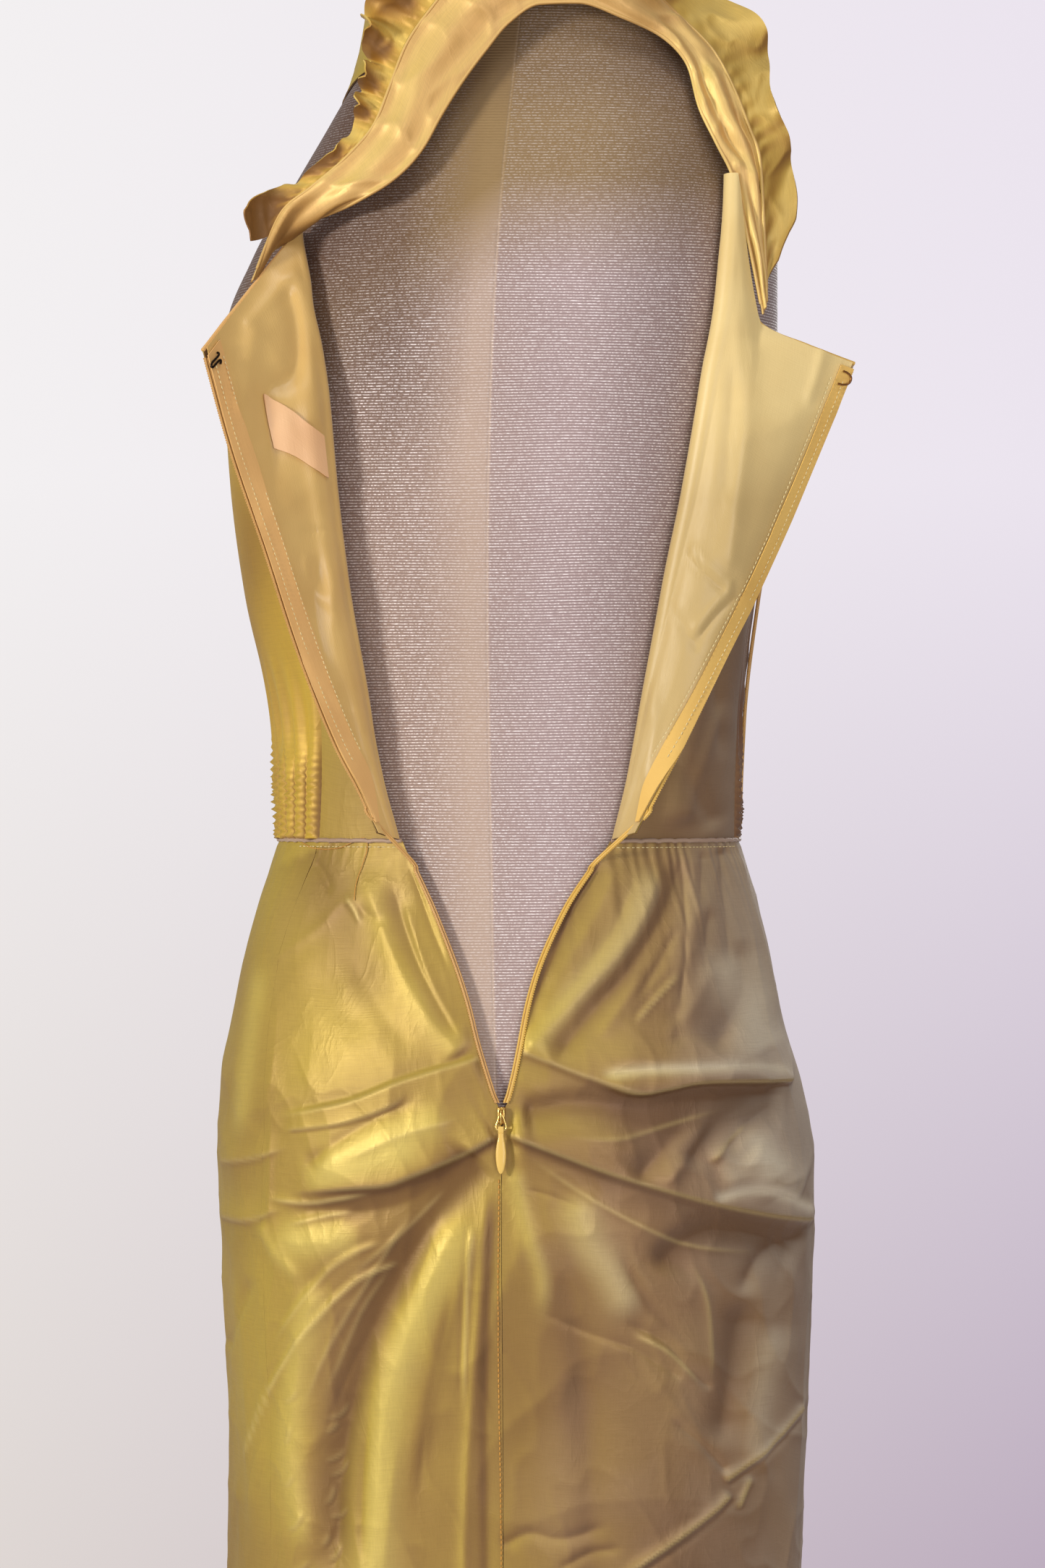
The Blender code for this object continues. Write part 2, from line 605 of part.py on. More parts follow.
def wire(name, points, radius, colour, rough, metal=0.0, resolution=1):
    curve = bpy.data.curves.new(name, 'CURVE')
    curve.dimensions = '3D'
    curve.bevel_depth = radius
    curve.bevel_resolution = resolution
    curve.use_fill_caps = True
    spline = curve.splines.new('POLY')
    spline.points.add(len(points) - 1)
    for target, point in zip(spline.points, points):
        target.co = (*point, 1.0)
    thing = bpy.data.objects.new(name, curve)
    bpy.context.scene.collection.objects.link(thing)
    paint(thing, colour, rough, metal)
    return thing


def plate(name, outline, depth, colour, rough, metal=0.0):
    # A flat outline in the local XZ plane, extruded along Y on both sides of it.
    bm = bmesh.new()
    corners = [bm.verts.new((x, -depth / 2, z)) for x, z in outline]
    face = bm.faces.new(corners)
    grown = bmesh.ops.extrude_face_region(bm, geom=[face])['geom']
    moved = [part for part in grown if isinstance(part, bmesh.types.BMVert)]
    bmesh.ops.translate(bm, verts=moved, vec=(0, depth, 0))
    return finish(name, bm, colour, rough, metal)


def both_sides(outline):
    right = [(row.half, -row.down) for row in outline]
    return right + [(-x, z) for x, z in reversed(right)]


def make_stand():
    rises = sorted([row.rise for row in FORM] + FORM_EXTRA)
    turns = [2 * math.pi * n / BODY_SIDES for n in range(BODY_SIDES)]
    rings = [[ring(form_at(rise), turn) for turn in turns] for rise in rises]
    lofted('form_torso', rings, JERSEY, 0.85)
    hub_top = STAND_BASE[-1].height
    pole_ends = (hub_top + SEAM_GAP, WAIST + rises[0] - SEAM_GAP)
    lofted('stand_pole', [round_ring(end, POLE_RADIUS, 20) for end in pole_ends], STEEL, 0.3, 1.0)
    base = [round_ring(row.height, row.radius) for row in STAND_BASE]
    lofted('stand_base', base, WHITE_IRON, 0.5)


def make_skirt():
    turn = math.degrees(SEAM_TURN)
    left = skirt_panel(lambda rise: skirt_seams_at(rise).left + turn, lambda rise: opening_at(rise).left)
    right = skirt_panel(lambda rise: opening_at(rise).right, lambda rise: skirt_seams_at(rise).right - turn)
    front = skirt_panel(lambda rise: skirt_seams_at(rise).right + turn,
                        lambda rise: 360 + skirt_seams_at(rise).left - turn)
    cloth('skirt_back_left', left, spread(0, 1, 10), SKIRT_ROWS, CLOTH, YELLOW_SILK)
    cloth('skirt_back_right', right, spread(0, 1, 15), SKIRT_ROWS, CLOTH, TAN_SILK)
    few_rows = SKIRT_ROWS[:4] + SKIRT_ROWS[4:20:2] + SKIRT_ROWS[20:]
    cloth('skirt_front', front, spread(0, 1, 16), few_rows, CLOTH, TAN_SILK)


def make_waist_seam():
    start, end = opening_at(0).right, 360 + opening_at(0).left
    points = []
    for degrees in spread(start, end, 46):
        points.append(ring(skirt_at(0), math.radians(degrees), TUBE_LIFT, TUBE_LIFT, TUBE_LIFT))
    wire('waist_piping', points, PIPING_RADIUS, TAN_SILK, 0.4)


def make_side_panels():
    # Shirred below: ribs between rows of stitches, fading upwards.
    turn = math.degrees(SEAM_TURN)

    def ribs(count):
        def raised(across, down):
            low = ramp((SHIRRING_TOP + down) / 0.03)
            return SHIRRING_LIFT * low * (0.5 - 0.5 * math.cos(2 * math.pi * count * across))
        return raised

    def rows(half, shares):
        return [-half.fold(share).rise for share in shares]
    left = bodice_panel(lambda rise: SIDE_LEFT_FAR + turn, lambda rise: bodice_seams_at(rise).left - turn)
    right = bodice_panel(lambda rise: bodice_seams_at(rise).right + turn, lambda rise: SIDE_RIGHT_FAR - turn)
    cloth('side_panel_left', left, spread(0, 1, 3 * LEFT_RIBS), rows(LEFT_HALF, LEFT_ROWS[LEFT_PANEL_ROW:]),
          CLOTH, YELLOW_SILK, raised=ribs(LEFT_RIBS))
    cloth('side_panel_right', right, spread(0, 1, 3 * RIGHT_RIBS),
          rows(RIGHT_HALF, RIGHT_ROWS[RIGHT_PANEL_ROW:]), CLOTH, TAN_SILK, raised=ribs(RIGHT_RIBS))


def make_front():
    cloth('bodice_front', front_point, spread(0, 1, 22), spread(0, 1, 15), CLOTH, TAN_SILK)


def make_backs():
    columns = [0, 0.5, 1, 1.35, 1.7, 2, 2.07, 2.15, 2.25, 2.4, 2.6, 2.8, 3]
    lining_columns = columns[1:-1] + [2.97]
    halves = (('left', LEFT_HALF, LEFT_ROWS, YELLOW_SILK), ('right', RIGHT_HALF, RIGHT_ROWS, TAN_SILK))
    for side, half, rows, colour in halves:
        def surface(across, down, half=half):
            return back_point(half, across, down)

        def near_zip(across, down, half=half):
            return back_point(half, 3 - (1 - across) * TAPE_WIDTH / flap_width(half, down), down)
        cloth('bodice_back_' + side, surface, columns, rows, CLOTH, colour, facing=half.facing)
        cloth('lining_' + side, surface, lining_columns, rows, LINING, PEACH,
              lift=-LINING_LIFT, facing=half.facing)
        cloth('zip_tape_' + side, near_zip, [0, 0.5, 1], [0.015] + rows[1:-3], TAPE, TAPE_COLOUR,
              lift=-TAPE_LIFT, facing=half.facing)

    def ribbon(across, down):
        high, low = between(0.33, 0.17, across), between(0.40, 0.27, across)
        return back_point(LEFT_HALF, between(2.08, 2.62, across), between(high, low, down))
    cloth('stay_ribbon', ribbon, spread(0, 1, 6), [0, 0.5, 1], TAPE, TAPE_COLOUR, lift=-TAPE_LIFT)


def make_skirt_tapes():
    # Behind the skirt's open edges, down to the slider.
    def tape(side):
        def surface(across, down):
            edge = opening_at(-down).left if side < 0 else opening_at(-down).right
            half = skirt_at(-down).right
            back = math.degrees(TAPE_WIDTH / half) * (1 - across if side < 0 else across)
            return skirt_point(math.radians(edge + side * back), -down)
        return surface
    rows = [row for row in SKIRT_ROWS if WAIST_EDGE < row < -ZIP_END]
    cloth('zip_tape_skirt_left', tape(-1), [0, 0.5, 1], rows, TAPE, TAPE_COLOUR, lift=-SKIRT_TAPE_LIFT)
    cloth('zip_tape_skirt_right', tape(1), [0, 0.5, 1], rows, TAPE, TAPE_COLOUR, lift=-SKIRT_TAPE_LIFT)


def make_band():
    cloth('neck_band', band_point, spread(0, 1, 40), spread(0, 1, BAND_ROWS), BAND_WALL, YELLOW_SILK)


def ruffle_point(across, down):
    # Down is 1 at the band and 0 at the free edge. Each rib bends as an arc from the band.
    along = between(RUFFLE[0].share, RUFFLE[-1].share, across)
    row = ruffle_at(along)
    root, outward = point_and_normal(band_point, along, 0.0, ((0, 1), (0, 1)), 1)
    away = (root - band_point(along, 0.4)).normalized()
    lean = row.lean + row.swing * math.sin(2 * math.pi * RUFFLE_WAVES * across)
    lean = math.copysign(max(abs(lean), 1e-3), lean)
    turn = lean * (1 - down)
    start = root + away * (SEAM_GAP + BAND_WALL * 0.4)
    return start + row.width / lean * (away * math.sin(turn) + outward * (1 - math.cos(turn)))


def make_ruffle():
    cloth('neck_ruffle', ruffle_point, spread(0, 1, 5 * RUFFLE_WAVES), [0, 0.35, 0.7, 1], CLOTH, YELLOW_SILK)


def slider_frame():
    # Stands on the skirt, its local Z up along the cloth and its local -Y out of it.
    angle = math.radians(SLIDER_ANGLE)
    high = skirt_point(angle, SLIDER_RISE + 0.012)
    low = skirt_point(angle, SLIDER_RISE - 0.040)
    up = (high - low).normalized()
    side = Vector((1, 0, 0))
    inward = up.cross(side).normalized()
    place = between(low, high, 0.040 / 0.052)
    place = place - inward * (CLOTH / 2 + SEAM_GAP + SLIDER_DEPTH + SLIDER_ROOM)
    frame = Matrix((side, inward, up)).transposed().to_4x4()
    return Matrix.Translation(place) @ frame


def make_slider():
    # The origin of its frame is the middle of the slider's outer face.
    frame = slider_frame()
    bm = bmesh.new()
    bmesh.ops.create_cube(bm, size=1)
    bmesh.ops.scale(bm, vec=(SLIDER_WIDTH, SLIDER_DEPTH, SLIDER_LENGTH), verts=bm.verts)
    bmesh.ops.translate(bm, vec=(0, SLIDER_DEPTH / 2, 0), verts=bm.verts)
    bmesh.ops.bevel(bm, geom=bm.edges[:], offset=0.0005, segments=1, profile=0.5, affect='EDGES',
                    material=-1)
    slider = finish('zip_slider', bm, GOLD, 0.25, 1.0)
    arch_outline = [
        (BRIDGE_OUTER, BRIDGE_ROOT), (BRIDGE_OUTER, -BRIDGE_TOP + 0.0008), (BRIDGE_INNER, -BRIDGE_TOP),
        (-BRIDGE_INNER, -BRIDGE_TOP), (-BRIDGE_OUTER, -BRIDGE_TOP + 0.0008), (-BRIDGE_OUTER, BRIDGE_ROOT),
        (-BRIDGE_INNER, BRIDGE_ROOT), (-BRIDGE_INNER, -BRIDGE_ROOM), (BRIDGE_INNER, -BRIDGE_ROOM),
        (BRIDGE_INNER, BRIDGE_ROOT),
    ]
    bridge = plate('zip_bridge_guide', arch_outline, BRIDGE_HALF * 2, GOLD, 0.25, 1.0)
    # The outline's first value runs along the slider, so it turns from X to Z and from Z to Y.
    bridge.matrix_world = frame @ Matrix(((0, 1, 0, 0), (0, 0, 1, 0), (1, 0, 0, 0), (0, 0, 0, 1)))
    bridge.hide_render = True
    bridge.display_type = 'WIRE'
    slider.matrix_world = frame
    union = slider.modifiers.new('bridge', 'BOOLEAN')
    union.operation = 'UNION'
    union.object = bridge
    pull = plate('zip_pull', both_sides(PULL_OUTLINE), PULL_WALL, GOLD, 0.25, 1.0)
    hole = plate('zip_pull_hole_guide', both_sides(PULL_HOLE), PULL_WALL * 3, GOLD, 0.25, 1.0)
    hinge = frame @ Matrix.Translation((0, -HINGE_LIFT, 0))
    for thing in (pull, hole):
        thing.matrix_world = hinge
    hole.hide_render = True
    hole.display_type = 'WIRE'
    cut = pull.modifiers.new('hole', 'BOOLEAN')
    cut.operation = 'DIFFERENCE'
    cut.object = hole


def make_hook_and_eye():
    # Bent wire that lies on each tape's top end.
    lift = TAPE_LIFT + TAPE / 2 + SEAM_GAP + OVAL_WIRE
    hook = [(0.0020, 0.0010), (0.0055, 0.0014), (0.0070, 0.0030), (0.0055, 0.0046), (0.0015, 0.0050),
            (-0.0005, 0.0064), (0.0015, 0.0078), (0.0055, 0.0080)]
    eye = [(0.0065, 0.0010), (0.0035, 0.0014), (0.0012, 0.0026), (0.0004, 0.0046), (0.0012, 0.0066),
           (0.0035, 0.0078), (0.0065, 0.0082)]
    for name, half, outline in (('zip_hook', LEFT_HALF, hook), ('zip_eye', RIGHT_HALF, eye)):
        def surface(across, down, half=half):
            return back_point(half, across, down)
        corner = surface(3, 0.02)
        inward = (surface(2.8, 0.02) - corner).normalized()
        below = (surface(3, 0.06) - corner).normalized()
        normal = point_and_normal(surface, 2.95, 0.03, ((0, 3), (0, 1)), half.facing)[1]
        start = corner - normal * (lift + 0.0004)
        points = [start + inward * across + below * down for across, down in outline]
        wire(name, points, OVAL_WIRE, BRONZE, 0.4, 1.0)


clear_scene()
make_stand()
make_skirt()
make_waist_seam()
make_side_panels()
make_front()
make_backs()
make_skirt_tapes()
make_band()
make_ruffle()
make_slider()
make_hook_and_eye()
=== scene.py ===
# Silk taffeta dress on a limbless dress form. Its back zip is open down to the hip and both
# backs are folded outwards. Metres, +Z up, and the open back faces -Y. A rise is a height
# above the waist seam. An angle round the body is 0 at the centre back and grows towards +X.
import math
from collections import namedtuple

import bmesh
import bpy
import numpy as np
from mathutils import Matrix, Vector, noise


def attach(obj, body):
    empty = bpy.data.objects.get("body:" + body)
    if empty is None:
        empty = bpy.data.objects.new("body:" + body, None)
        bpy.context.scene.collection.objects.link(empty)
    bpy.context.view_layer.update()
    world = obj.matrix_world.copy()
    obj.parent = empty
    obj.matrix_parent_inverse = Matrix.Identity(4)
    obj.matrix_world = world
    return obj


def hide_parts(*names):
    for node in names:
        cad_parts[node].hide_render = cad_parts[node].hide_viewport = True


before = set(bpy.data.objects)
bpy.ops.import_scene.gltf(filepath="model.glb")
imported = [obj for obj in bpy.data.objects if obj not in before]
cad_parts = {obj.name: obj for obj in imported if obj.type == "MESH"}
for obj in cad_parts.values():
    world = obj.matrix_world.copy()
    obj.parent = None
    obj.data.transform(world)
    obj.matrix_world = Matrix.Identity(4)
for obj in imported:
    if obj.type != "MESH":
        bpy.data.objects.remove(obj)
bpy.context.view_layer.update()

waist = 1.040
seamGap = 0.0003
seamTurn = 0.01                              # from a seam to each of its two pieces, in degrees
waistEdge = 0.0006
formFoot, formTop = -0.300, 0.530
skirtLength = 0.620
roundness = 1 / 1.1                          # exponent of the body's rounded sections
ease = {'side': 0.0050, 'back': 0.0048, 'frontWaist': 0.0017, 'front': 0.0045}
walls = {'silk': 0.0008, 'lining': 0.0006, 'tape': 0.0007, 'band': 0.0012}
liningLift = 0.0012
tapeLift = 0.0025
skirtTapeLift = 0.0018
tapeWidth = 0.0125
inwards = np.array([0, 1.0, 0])              # from the open back into the body


# Curves and tables

def ramp(value):
    value = np.clip(value, 0.0, 1.0)
    return value * value * (3 - 2 * value)


def between(start, end, share):
    return start + (end - start) * share


def spread(start, end, count):
    return [between(start, end, n / count) for n in range(count + 1)]


def smooth(columns, rows):
    # A smooth function of a table's first column, without overshoot, on whole arrays.
    kind = namedtuple('Row', columns)
    rows = np.array(sorted(rows), dtype=float)
    stops = rows[:, 0]
    steps = np.diff(stops)[:, None]
    slopes = np.diff(rows, axis=0) / steps
    tangents = np.vstack([slopes[:1], np.zeros_like(slopes[1:]), slopes[-1:]])
    before, after = slopes[:-1], slopes[1:]
    sameWay = before * after > 0
    total = np.where(sameWay, before + after, 1.0)
    tangents[1:-1] = np.where(sameWay, 2 * before * after / total, 0.0)

    def at(place):
        place = np.clip(np.asarray(place, dtype=float), stops[0], stops[-1])
        low = np.clip(np.searchsorted(stops, place, side='right') - 1, 0, len(stops) - 2)
        width = (stops[low + 1] - stops[low])[..., None]
        t = (place - stops[low])[..., None] / width
        value = (
            (2 * t ** 3 - 3 * t ** 2 + 1) * rows[low]
            + (t ** 3 - 2 * t ** 2 + t) * width * tangents[low]
            + (3 * t ** 2 - 2 * t ** 3) * rows[low + 1]
            + (t ** 3 - t ** 2) * width * tangents[low + 1]
        )
        return kind(*np.moveaxis(value, -1, 0))
    return at


def curveThrough(points, steps):
    # Catmull-Rom through points of any dimension.
    points = np.asarray(points, dtype=float)
    padded = np.vstack([2 * points[0] - points[1], points, 2 * points[-1] - points[-2]])
    found = []
    for n in range(len(points) - 1):
        a, b, c, d = padded[n:n + 4]
        for t in np.arange(steps) / steps:
            found.append(0.5 * (2 * b + (c - a) * t + (2 * a - 5 * b + 4 * c - d) * t ** 2
                                + (3 * b - a - 3 * c + d) * t ** 3))
    return np.array(found + [points[-1]])


def unit(vectors):
    return vectors / np.maximum(np.linalg.norm(vectors, axis=-1, keepdims=True), 1e-12)


# The body and the dress, as functions of places on them

formAt = smooth('rise left right back front', [
    (-0.300, 0.128, 0.130, 0.100, 0.085), (-0.240, 0.146, 0.150, 0.112, 0.098),
    (-0.170, 0.150, 0.152, 0.116, 0.102), (-0.100, 0.144, 0.138, 0.106, 0.100),
    (-0.050, 0.134, 0.127, 0.093, 0.094), (0.000, 0.120, 0.1135, 0.083, 0.088),
    (0.060, 0.124, 0.115, 0.084, 0.096), (0.130, 0.139, 0.123, 0.090, 0.118),
    (0.180, 0.146, 0.132, 0.094, 0.127), (0.230, 0.150, 0.138, 0.097, 0.118),
    (0.270, 0.1545, 0.140, 0.098, 0.104), (0.310, 0.140, 0.140, 0.095, 0.092),
    (0.350, 0.1165, 0.137, 0.088, 0.078), (0.385, 0.096, 0.130, 0.076, 0.066),
    (0.415, 0.080, 0.100, 0.065, 0.060), (0.445, 0.0735, 0.0765, 0.058, 0.056),
    (0.475, 0.062, 0.063, 0.055, 0.055), (0.500, 0.058, 0.058, 0.054, 0.054),
    (0.530, 0.058, 0.058, 0.054, 0.054),
])
skirtAt = smooth('rise left right back front', [
    (0.000, 0.1250, 0.1185, 0.0878, 0.0897), (-0.050, 0.1410, 0.1330, 0.0985, 0.1005),
    (-0.100, 0.1515, 0.1435, 0.1120, 0.1075), (-0.130, 0.1565, 0.1525, 0.1180, 0.1090),
    (-0.170, 0.1575, 0.1595, 0.1215, 0.1095), (-0.200, 0.1560, 0.1600, 0.1215, 0.1090),
    (-0.250, 0.1540, 0.1590, 0.1180, 0.1070), (-0.320, 0.1505, 0.1565, 0.1120, 0.1050),
    (-0.400, 0.1510, 0.1540, 0.1085, 0.1040), (-0.500, 0.1500, 0.1515, 0.1060, 0.1040),
    (-0.620, 0.1490, 0.1500, 0.1050, 0.1040),
])
openingAt = smooth('rise left right', [
    (0.000, -22.0, 26.4), (-0.035, -12.6, 13.8), (-0.066, -6.9, 7.6), (-0.085, -4.4, 5.5),
    (-0.102, -2.8, 4.3), (-0.119, -1.1, 3.1), (-0.131, 0.0, 2.1), (-0.139, 0.75, 1.25),
    (-0.155, 0.97, 1.03), (-0.620, 0.97, 1.03),
])
skirtSeamsAt = smooth('rise left right', [
    (0.000, -49.5, 82.0), (-0.060, -53.5, 83.0), (-0.145, -50.0, 85.0), (-0.200, -51.5, 86.0),
    (-0.620, -52.0, 88.0),
])
bodiceSeamsAt = smooth('rise left right', [
    (0.000, -49.5, 82.0), (0.070, -46.0, 82.0), (0.130, -48.0, 81.0), (0.200, -54.0, 76.0),
    (0.250, -55.0, 66.0), (0.290, -53.0, 59.0), (0.330, -51.0, 56.0), (0.350, -51.0, 56.5),
])
sideFar = {'left': -92.0, 'right': 111.0}
frontRightAt = smooth('share angle rise out', [
    (0.00, 111.4, waistEdge, 0.0), (0.30, 111.4, 0.120, 0.0), (0.50, 117.0, 0.200, 0.0),
    (0.64, 131.0, 0.270, 0.0), (0.76, 133.0, 0.330, 0.0), (0.86, 118.0, 0.375, 0.006),
    (0.94, 84.0, 0.410, 0.010), (0.97, 68.0, 0.417, 0.011), (1.00, 58.0, 0.442, 0.012),
])
frontLeftAt = smooth('share angle rise out', [
    (0.00, 267.6, waistEdge, 0.0), (0.30, 267.6, 0.120, 0.0), (0.50, 262.0, 0.200, 0.0),
    (0.64, 246.0, 0.270, 0.0), (0.76, 242.0, 0.330, 0.0), (0.86, 252.0, 0.375, -0.0035),
    (0.94, 292.0, 0.404, -0.004), (0.97, 316.0, 0.412, -0.004), (1.00, 327.0, 0.438, -0.004),
])
frontTopAt = smooth('share angle rise', [
    (0.00, 58.0, 0.442), (0.14, 95.0, 0.440), (0.50, 180.0, 0.405), (0.86, 290.0, 0.440),
    (1.00, 327.0, 0.438),
])
bandAt = smooth('share lowX lowY lowRise topX topY topRise', [
    (0.00, -0.1071, -0.0733, 0.3206, -0.1273, -0.1041, 0.2878),
    (0.06, -0.082, -0.090, 0.327, -0.113, -0.092, 0.326),
    (0.11, -0.063, -0.100, 0.335, -0.098, -0.093, 0.338),
    (0.16, -0.048, -0.100, 0.346, -0.079, -0.0935, 0.354),
    (0.20, -0.039, -0.098, 0.357, -0.065, -0.0915, 0.371),
    (0.25, -0.030, -0.0945, 0.374, -0.058, -0.087, 0.390),
    (0.30, -0.019, -0.0885, 0.393, -0.050, -0.081, 0.413),
    (0.35, -0.008, -0.0835, 0.409, -0.039, -0.078, 0.430),
    (0.41, 0.004, -0.080, 0.424, -0.020, -0.077, 0.451),
    (0.47, 0.020, -0.077, 0.434, 0.014, -0.077, 0.467),
    (0.53, 0.040, -0.0725, 0.435, 0.051, -0.070, 0.463),
    (0.59, 0.062, -0.0665, 0.428, 0.074, -0.058, 0.446),
    (0.65, 0.082, -0.058, 0.419, 0.090, -0.044, 0.432),
    (0.71, 0.0955, -0.0575, 0.404, 0.109, -0.046, 0.412),
    (0.77, 0.1020, -0.064, 0.381, 0.120, -0.0525, 0.391),
    (0.82, 0.1110, -0.067, 0.362, 0.1276, -0.057, 0.3715),
    (0.87, 0.1195, -0.0660, 0.3444, 0.1332, -0.0585, 0.355),
    (0.94, 0.1286, -0.0688, 0.3054, 0.1356, -0.0630, 0.316),
    (1.00, 0.1352, -0.0697, 0.2724, 0.1372, -0.0680, 0.280),
])
ruffleAt = smooth('share width lean swing', [
    (0.035, 0.012, 0.7, 0.2), (0.060, 0.022, 0.9, 0.5), (0.100, 0.014, 0.5, 0.7),
    (0.160, 0.009, 0.3, 0.9), (0.205, 0.013, 0.6, 1.1), (0.260, 0.020, 0.8, 1.1),
    (0.330, 0.030, 0.9, 0.9), (0.470, 0.038, 0.6, 0.6), (0.590, 0.040, 0.3, 0.5),
    (0.670, 0.036, 0.1, 0.35), (0.740, 0.028, 0.3, 0.4), (0.800, 0.018, 0.7, 0.4),
    (0.860, 0.021, 0.4, 0.35), (0.920, 0.026, 0.3, 0.3), (0.965, 0.026, 0.4, 0.3),
    (0.985, 0.012, 0.5, 0.2),
])
Half = namedtuple('Half', 'side fold zip top facing bulge proud')
leftHalf = Half(
    'left',
    smooth('share angle rise roll', [
        (0.0, -46.0, 0.318, 0.0050), (0.1, -36.5, 0.285, 0.0055), (0.2, -33.0, 0.253, 0.0055),
        (0.4, -31.5, 0.190, 0.0055), (0.6, -30.3, 0.126, 0.0050), (0.8, -29.0, 0.063, 0.0040),
        (0.9, -26.8, 0.031, 0.0030), (1.0, -23.0, waistEdge, 0.0020),
    ]),
    smooth('share x y rise', [
        (0.0, -0.1470, -0.140, 0.250), (0.2, -0.1340, -0.133, 0.200), (0.4, -0.1180, -0.124, 0.150),
        (0.6, -0.1025, -0.114, 0.099), (0.8, -0.0835, -0.103, 0.048), (0.9, -0.0720, -0.098, 0.025),
        (1.0, -0.0630, -0.096, 0.004),
    ]),
    smooth('share x y rise', [
        (0.00, -0.107, -0.092, 0.318), (0.50, -0.127, -0.114, 0.285), (1.00, -0.147, -0.140, 0.250),
    ]),
    1, 0.004, 0.004,
)
rightHalf = Half(
    'right',
    smooth('share angle rise roll', [
        (0.0, 52.0, 0.346, 0.0045), (0.1, 49.4, 0.310, 0.0050), (0.2, 47.2, 0.2755, 0.0055),
        (0.3, 44.0, 0.241, 0.0055), (0.5, 40.3, 0.1725, 0.0055), (0.7, 36.7, 0.104, 0.0050),
        (0.9, 31.5, 0.0355, 0.0030), (1.0, 27.2, waistEdge, 0.0020),
    ]),
    smooth('share x y rise', [
        (0.0, 0.182, -0.052, 0.248), (0.2, 0.1615, -0.060, 0.198), (0.4, 0.1405, -0.070, 0.148),
        (0.6, 0.1175, -0.079, 0.098), (0.8, 0.0945, -0.088, 0.049), (0.9, 0.0820, -0.092, 0.025),
        (1.0, 0.0715, -0.0950, 0.004),
    ]),
    smooth('share x y rise', [
        (0.00, 0.1180, -0.0800, 0.344), (0.12, 0.1235, -0.0815, 0.300), (0.22, 0.1310, -0.0805, 0.266),
        (0.60, 0.1560, -0.0700, 0.256), (1.00, 0.1820, -0.0520, 0.248),
    ]),
    -1, 0.003, 0.0012,
)


def ring(section, angle, sideOut=0.0, backOut=0.0, frontOut=0.0):
    across, behind = np.sin(angle), np.cos(angle)
    half = np.where(across > 0, section.right, section.left) + sideOut
    depth = np.where(behind > 0, section.back + backOut, section.front + frontOut)
    return np.stack(np.broadcast_arrays(
        half * np.sign(across) * abs(across) ** roundness,
        -depth * np.sign(behind) * abs(behind) ** roundness,
        waist + section.rise,
    ), axis=-1)


def bodicePoint(angle, rise, out=0.0):
    front = between(ease['frontWaist'], ease['front'], ramp(rise / 0.08))
    return ring(formAt(rise), angle, ease['side'] + out, ease['back'] + out, front + out)


# Folds. A fold's line runs through places (x, rise), and above is its left hand side. High is its
# crest, above and below are its widths, dip is a trough beside it and lean is how far the crest
# hangs over, all in millimetres. Sharp is the exponent of its slopes, and start and end are the
# shares of its length over which it fades. Its last value is painted shade, in a wedge below a
# raised fold and along the line of any other, and a painted highlight along the line where it is
# less than nothing. A raised fold that is narrow below also gets a painted highlight on its crest.

Fold = namedtuple('Fold', 'line high above below dip lean sharp start end brown',
                  defaults=(0, 0, 1.5, 0.15, 0.15, 0))
# Widths, in metres, of the painted crest highlight and of the painted shade above and below a fold, and how
# fast the shade's wedge widens away from the zip.
paintedLightWidths = {'crest': 0.0011, 'above': 0.0008, 'below': 0.003, 'widening': 0.11}


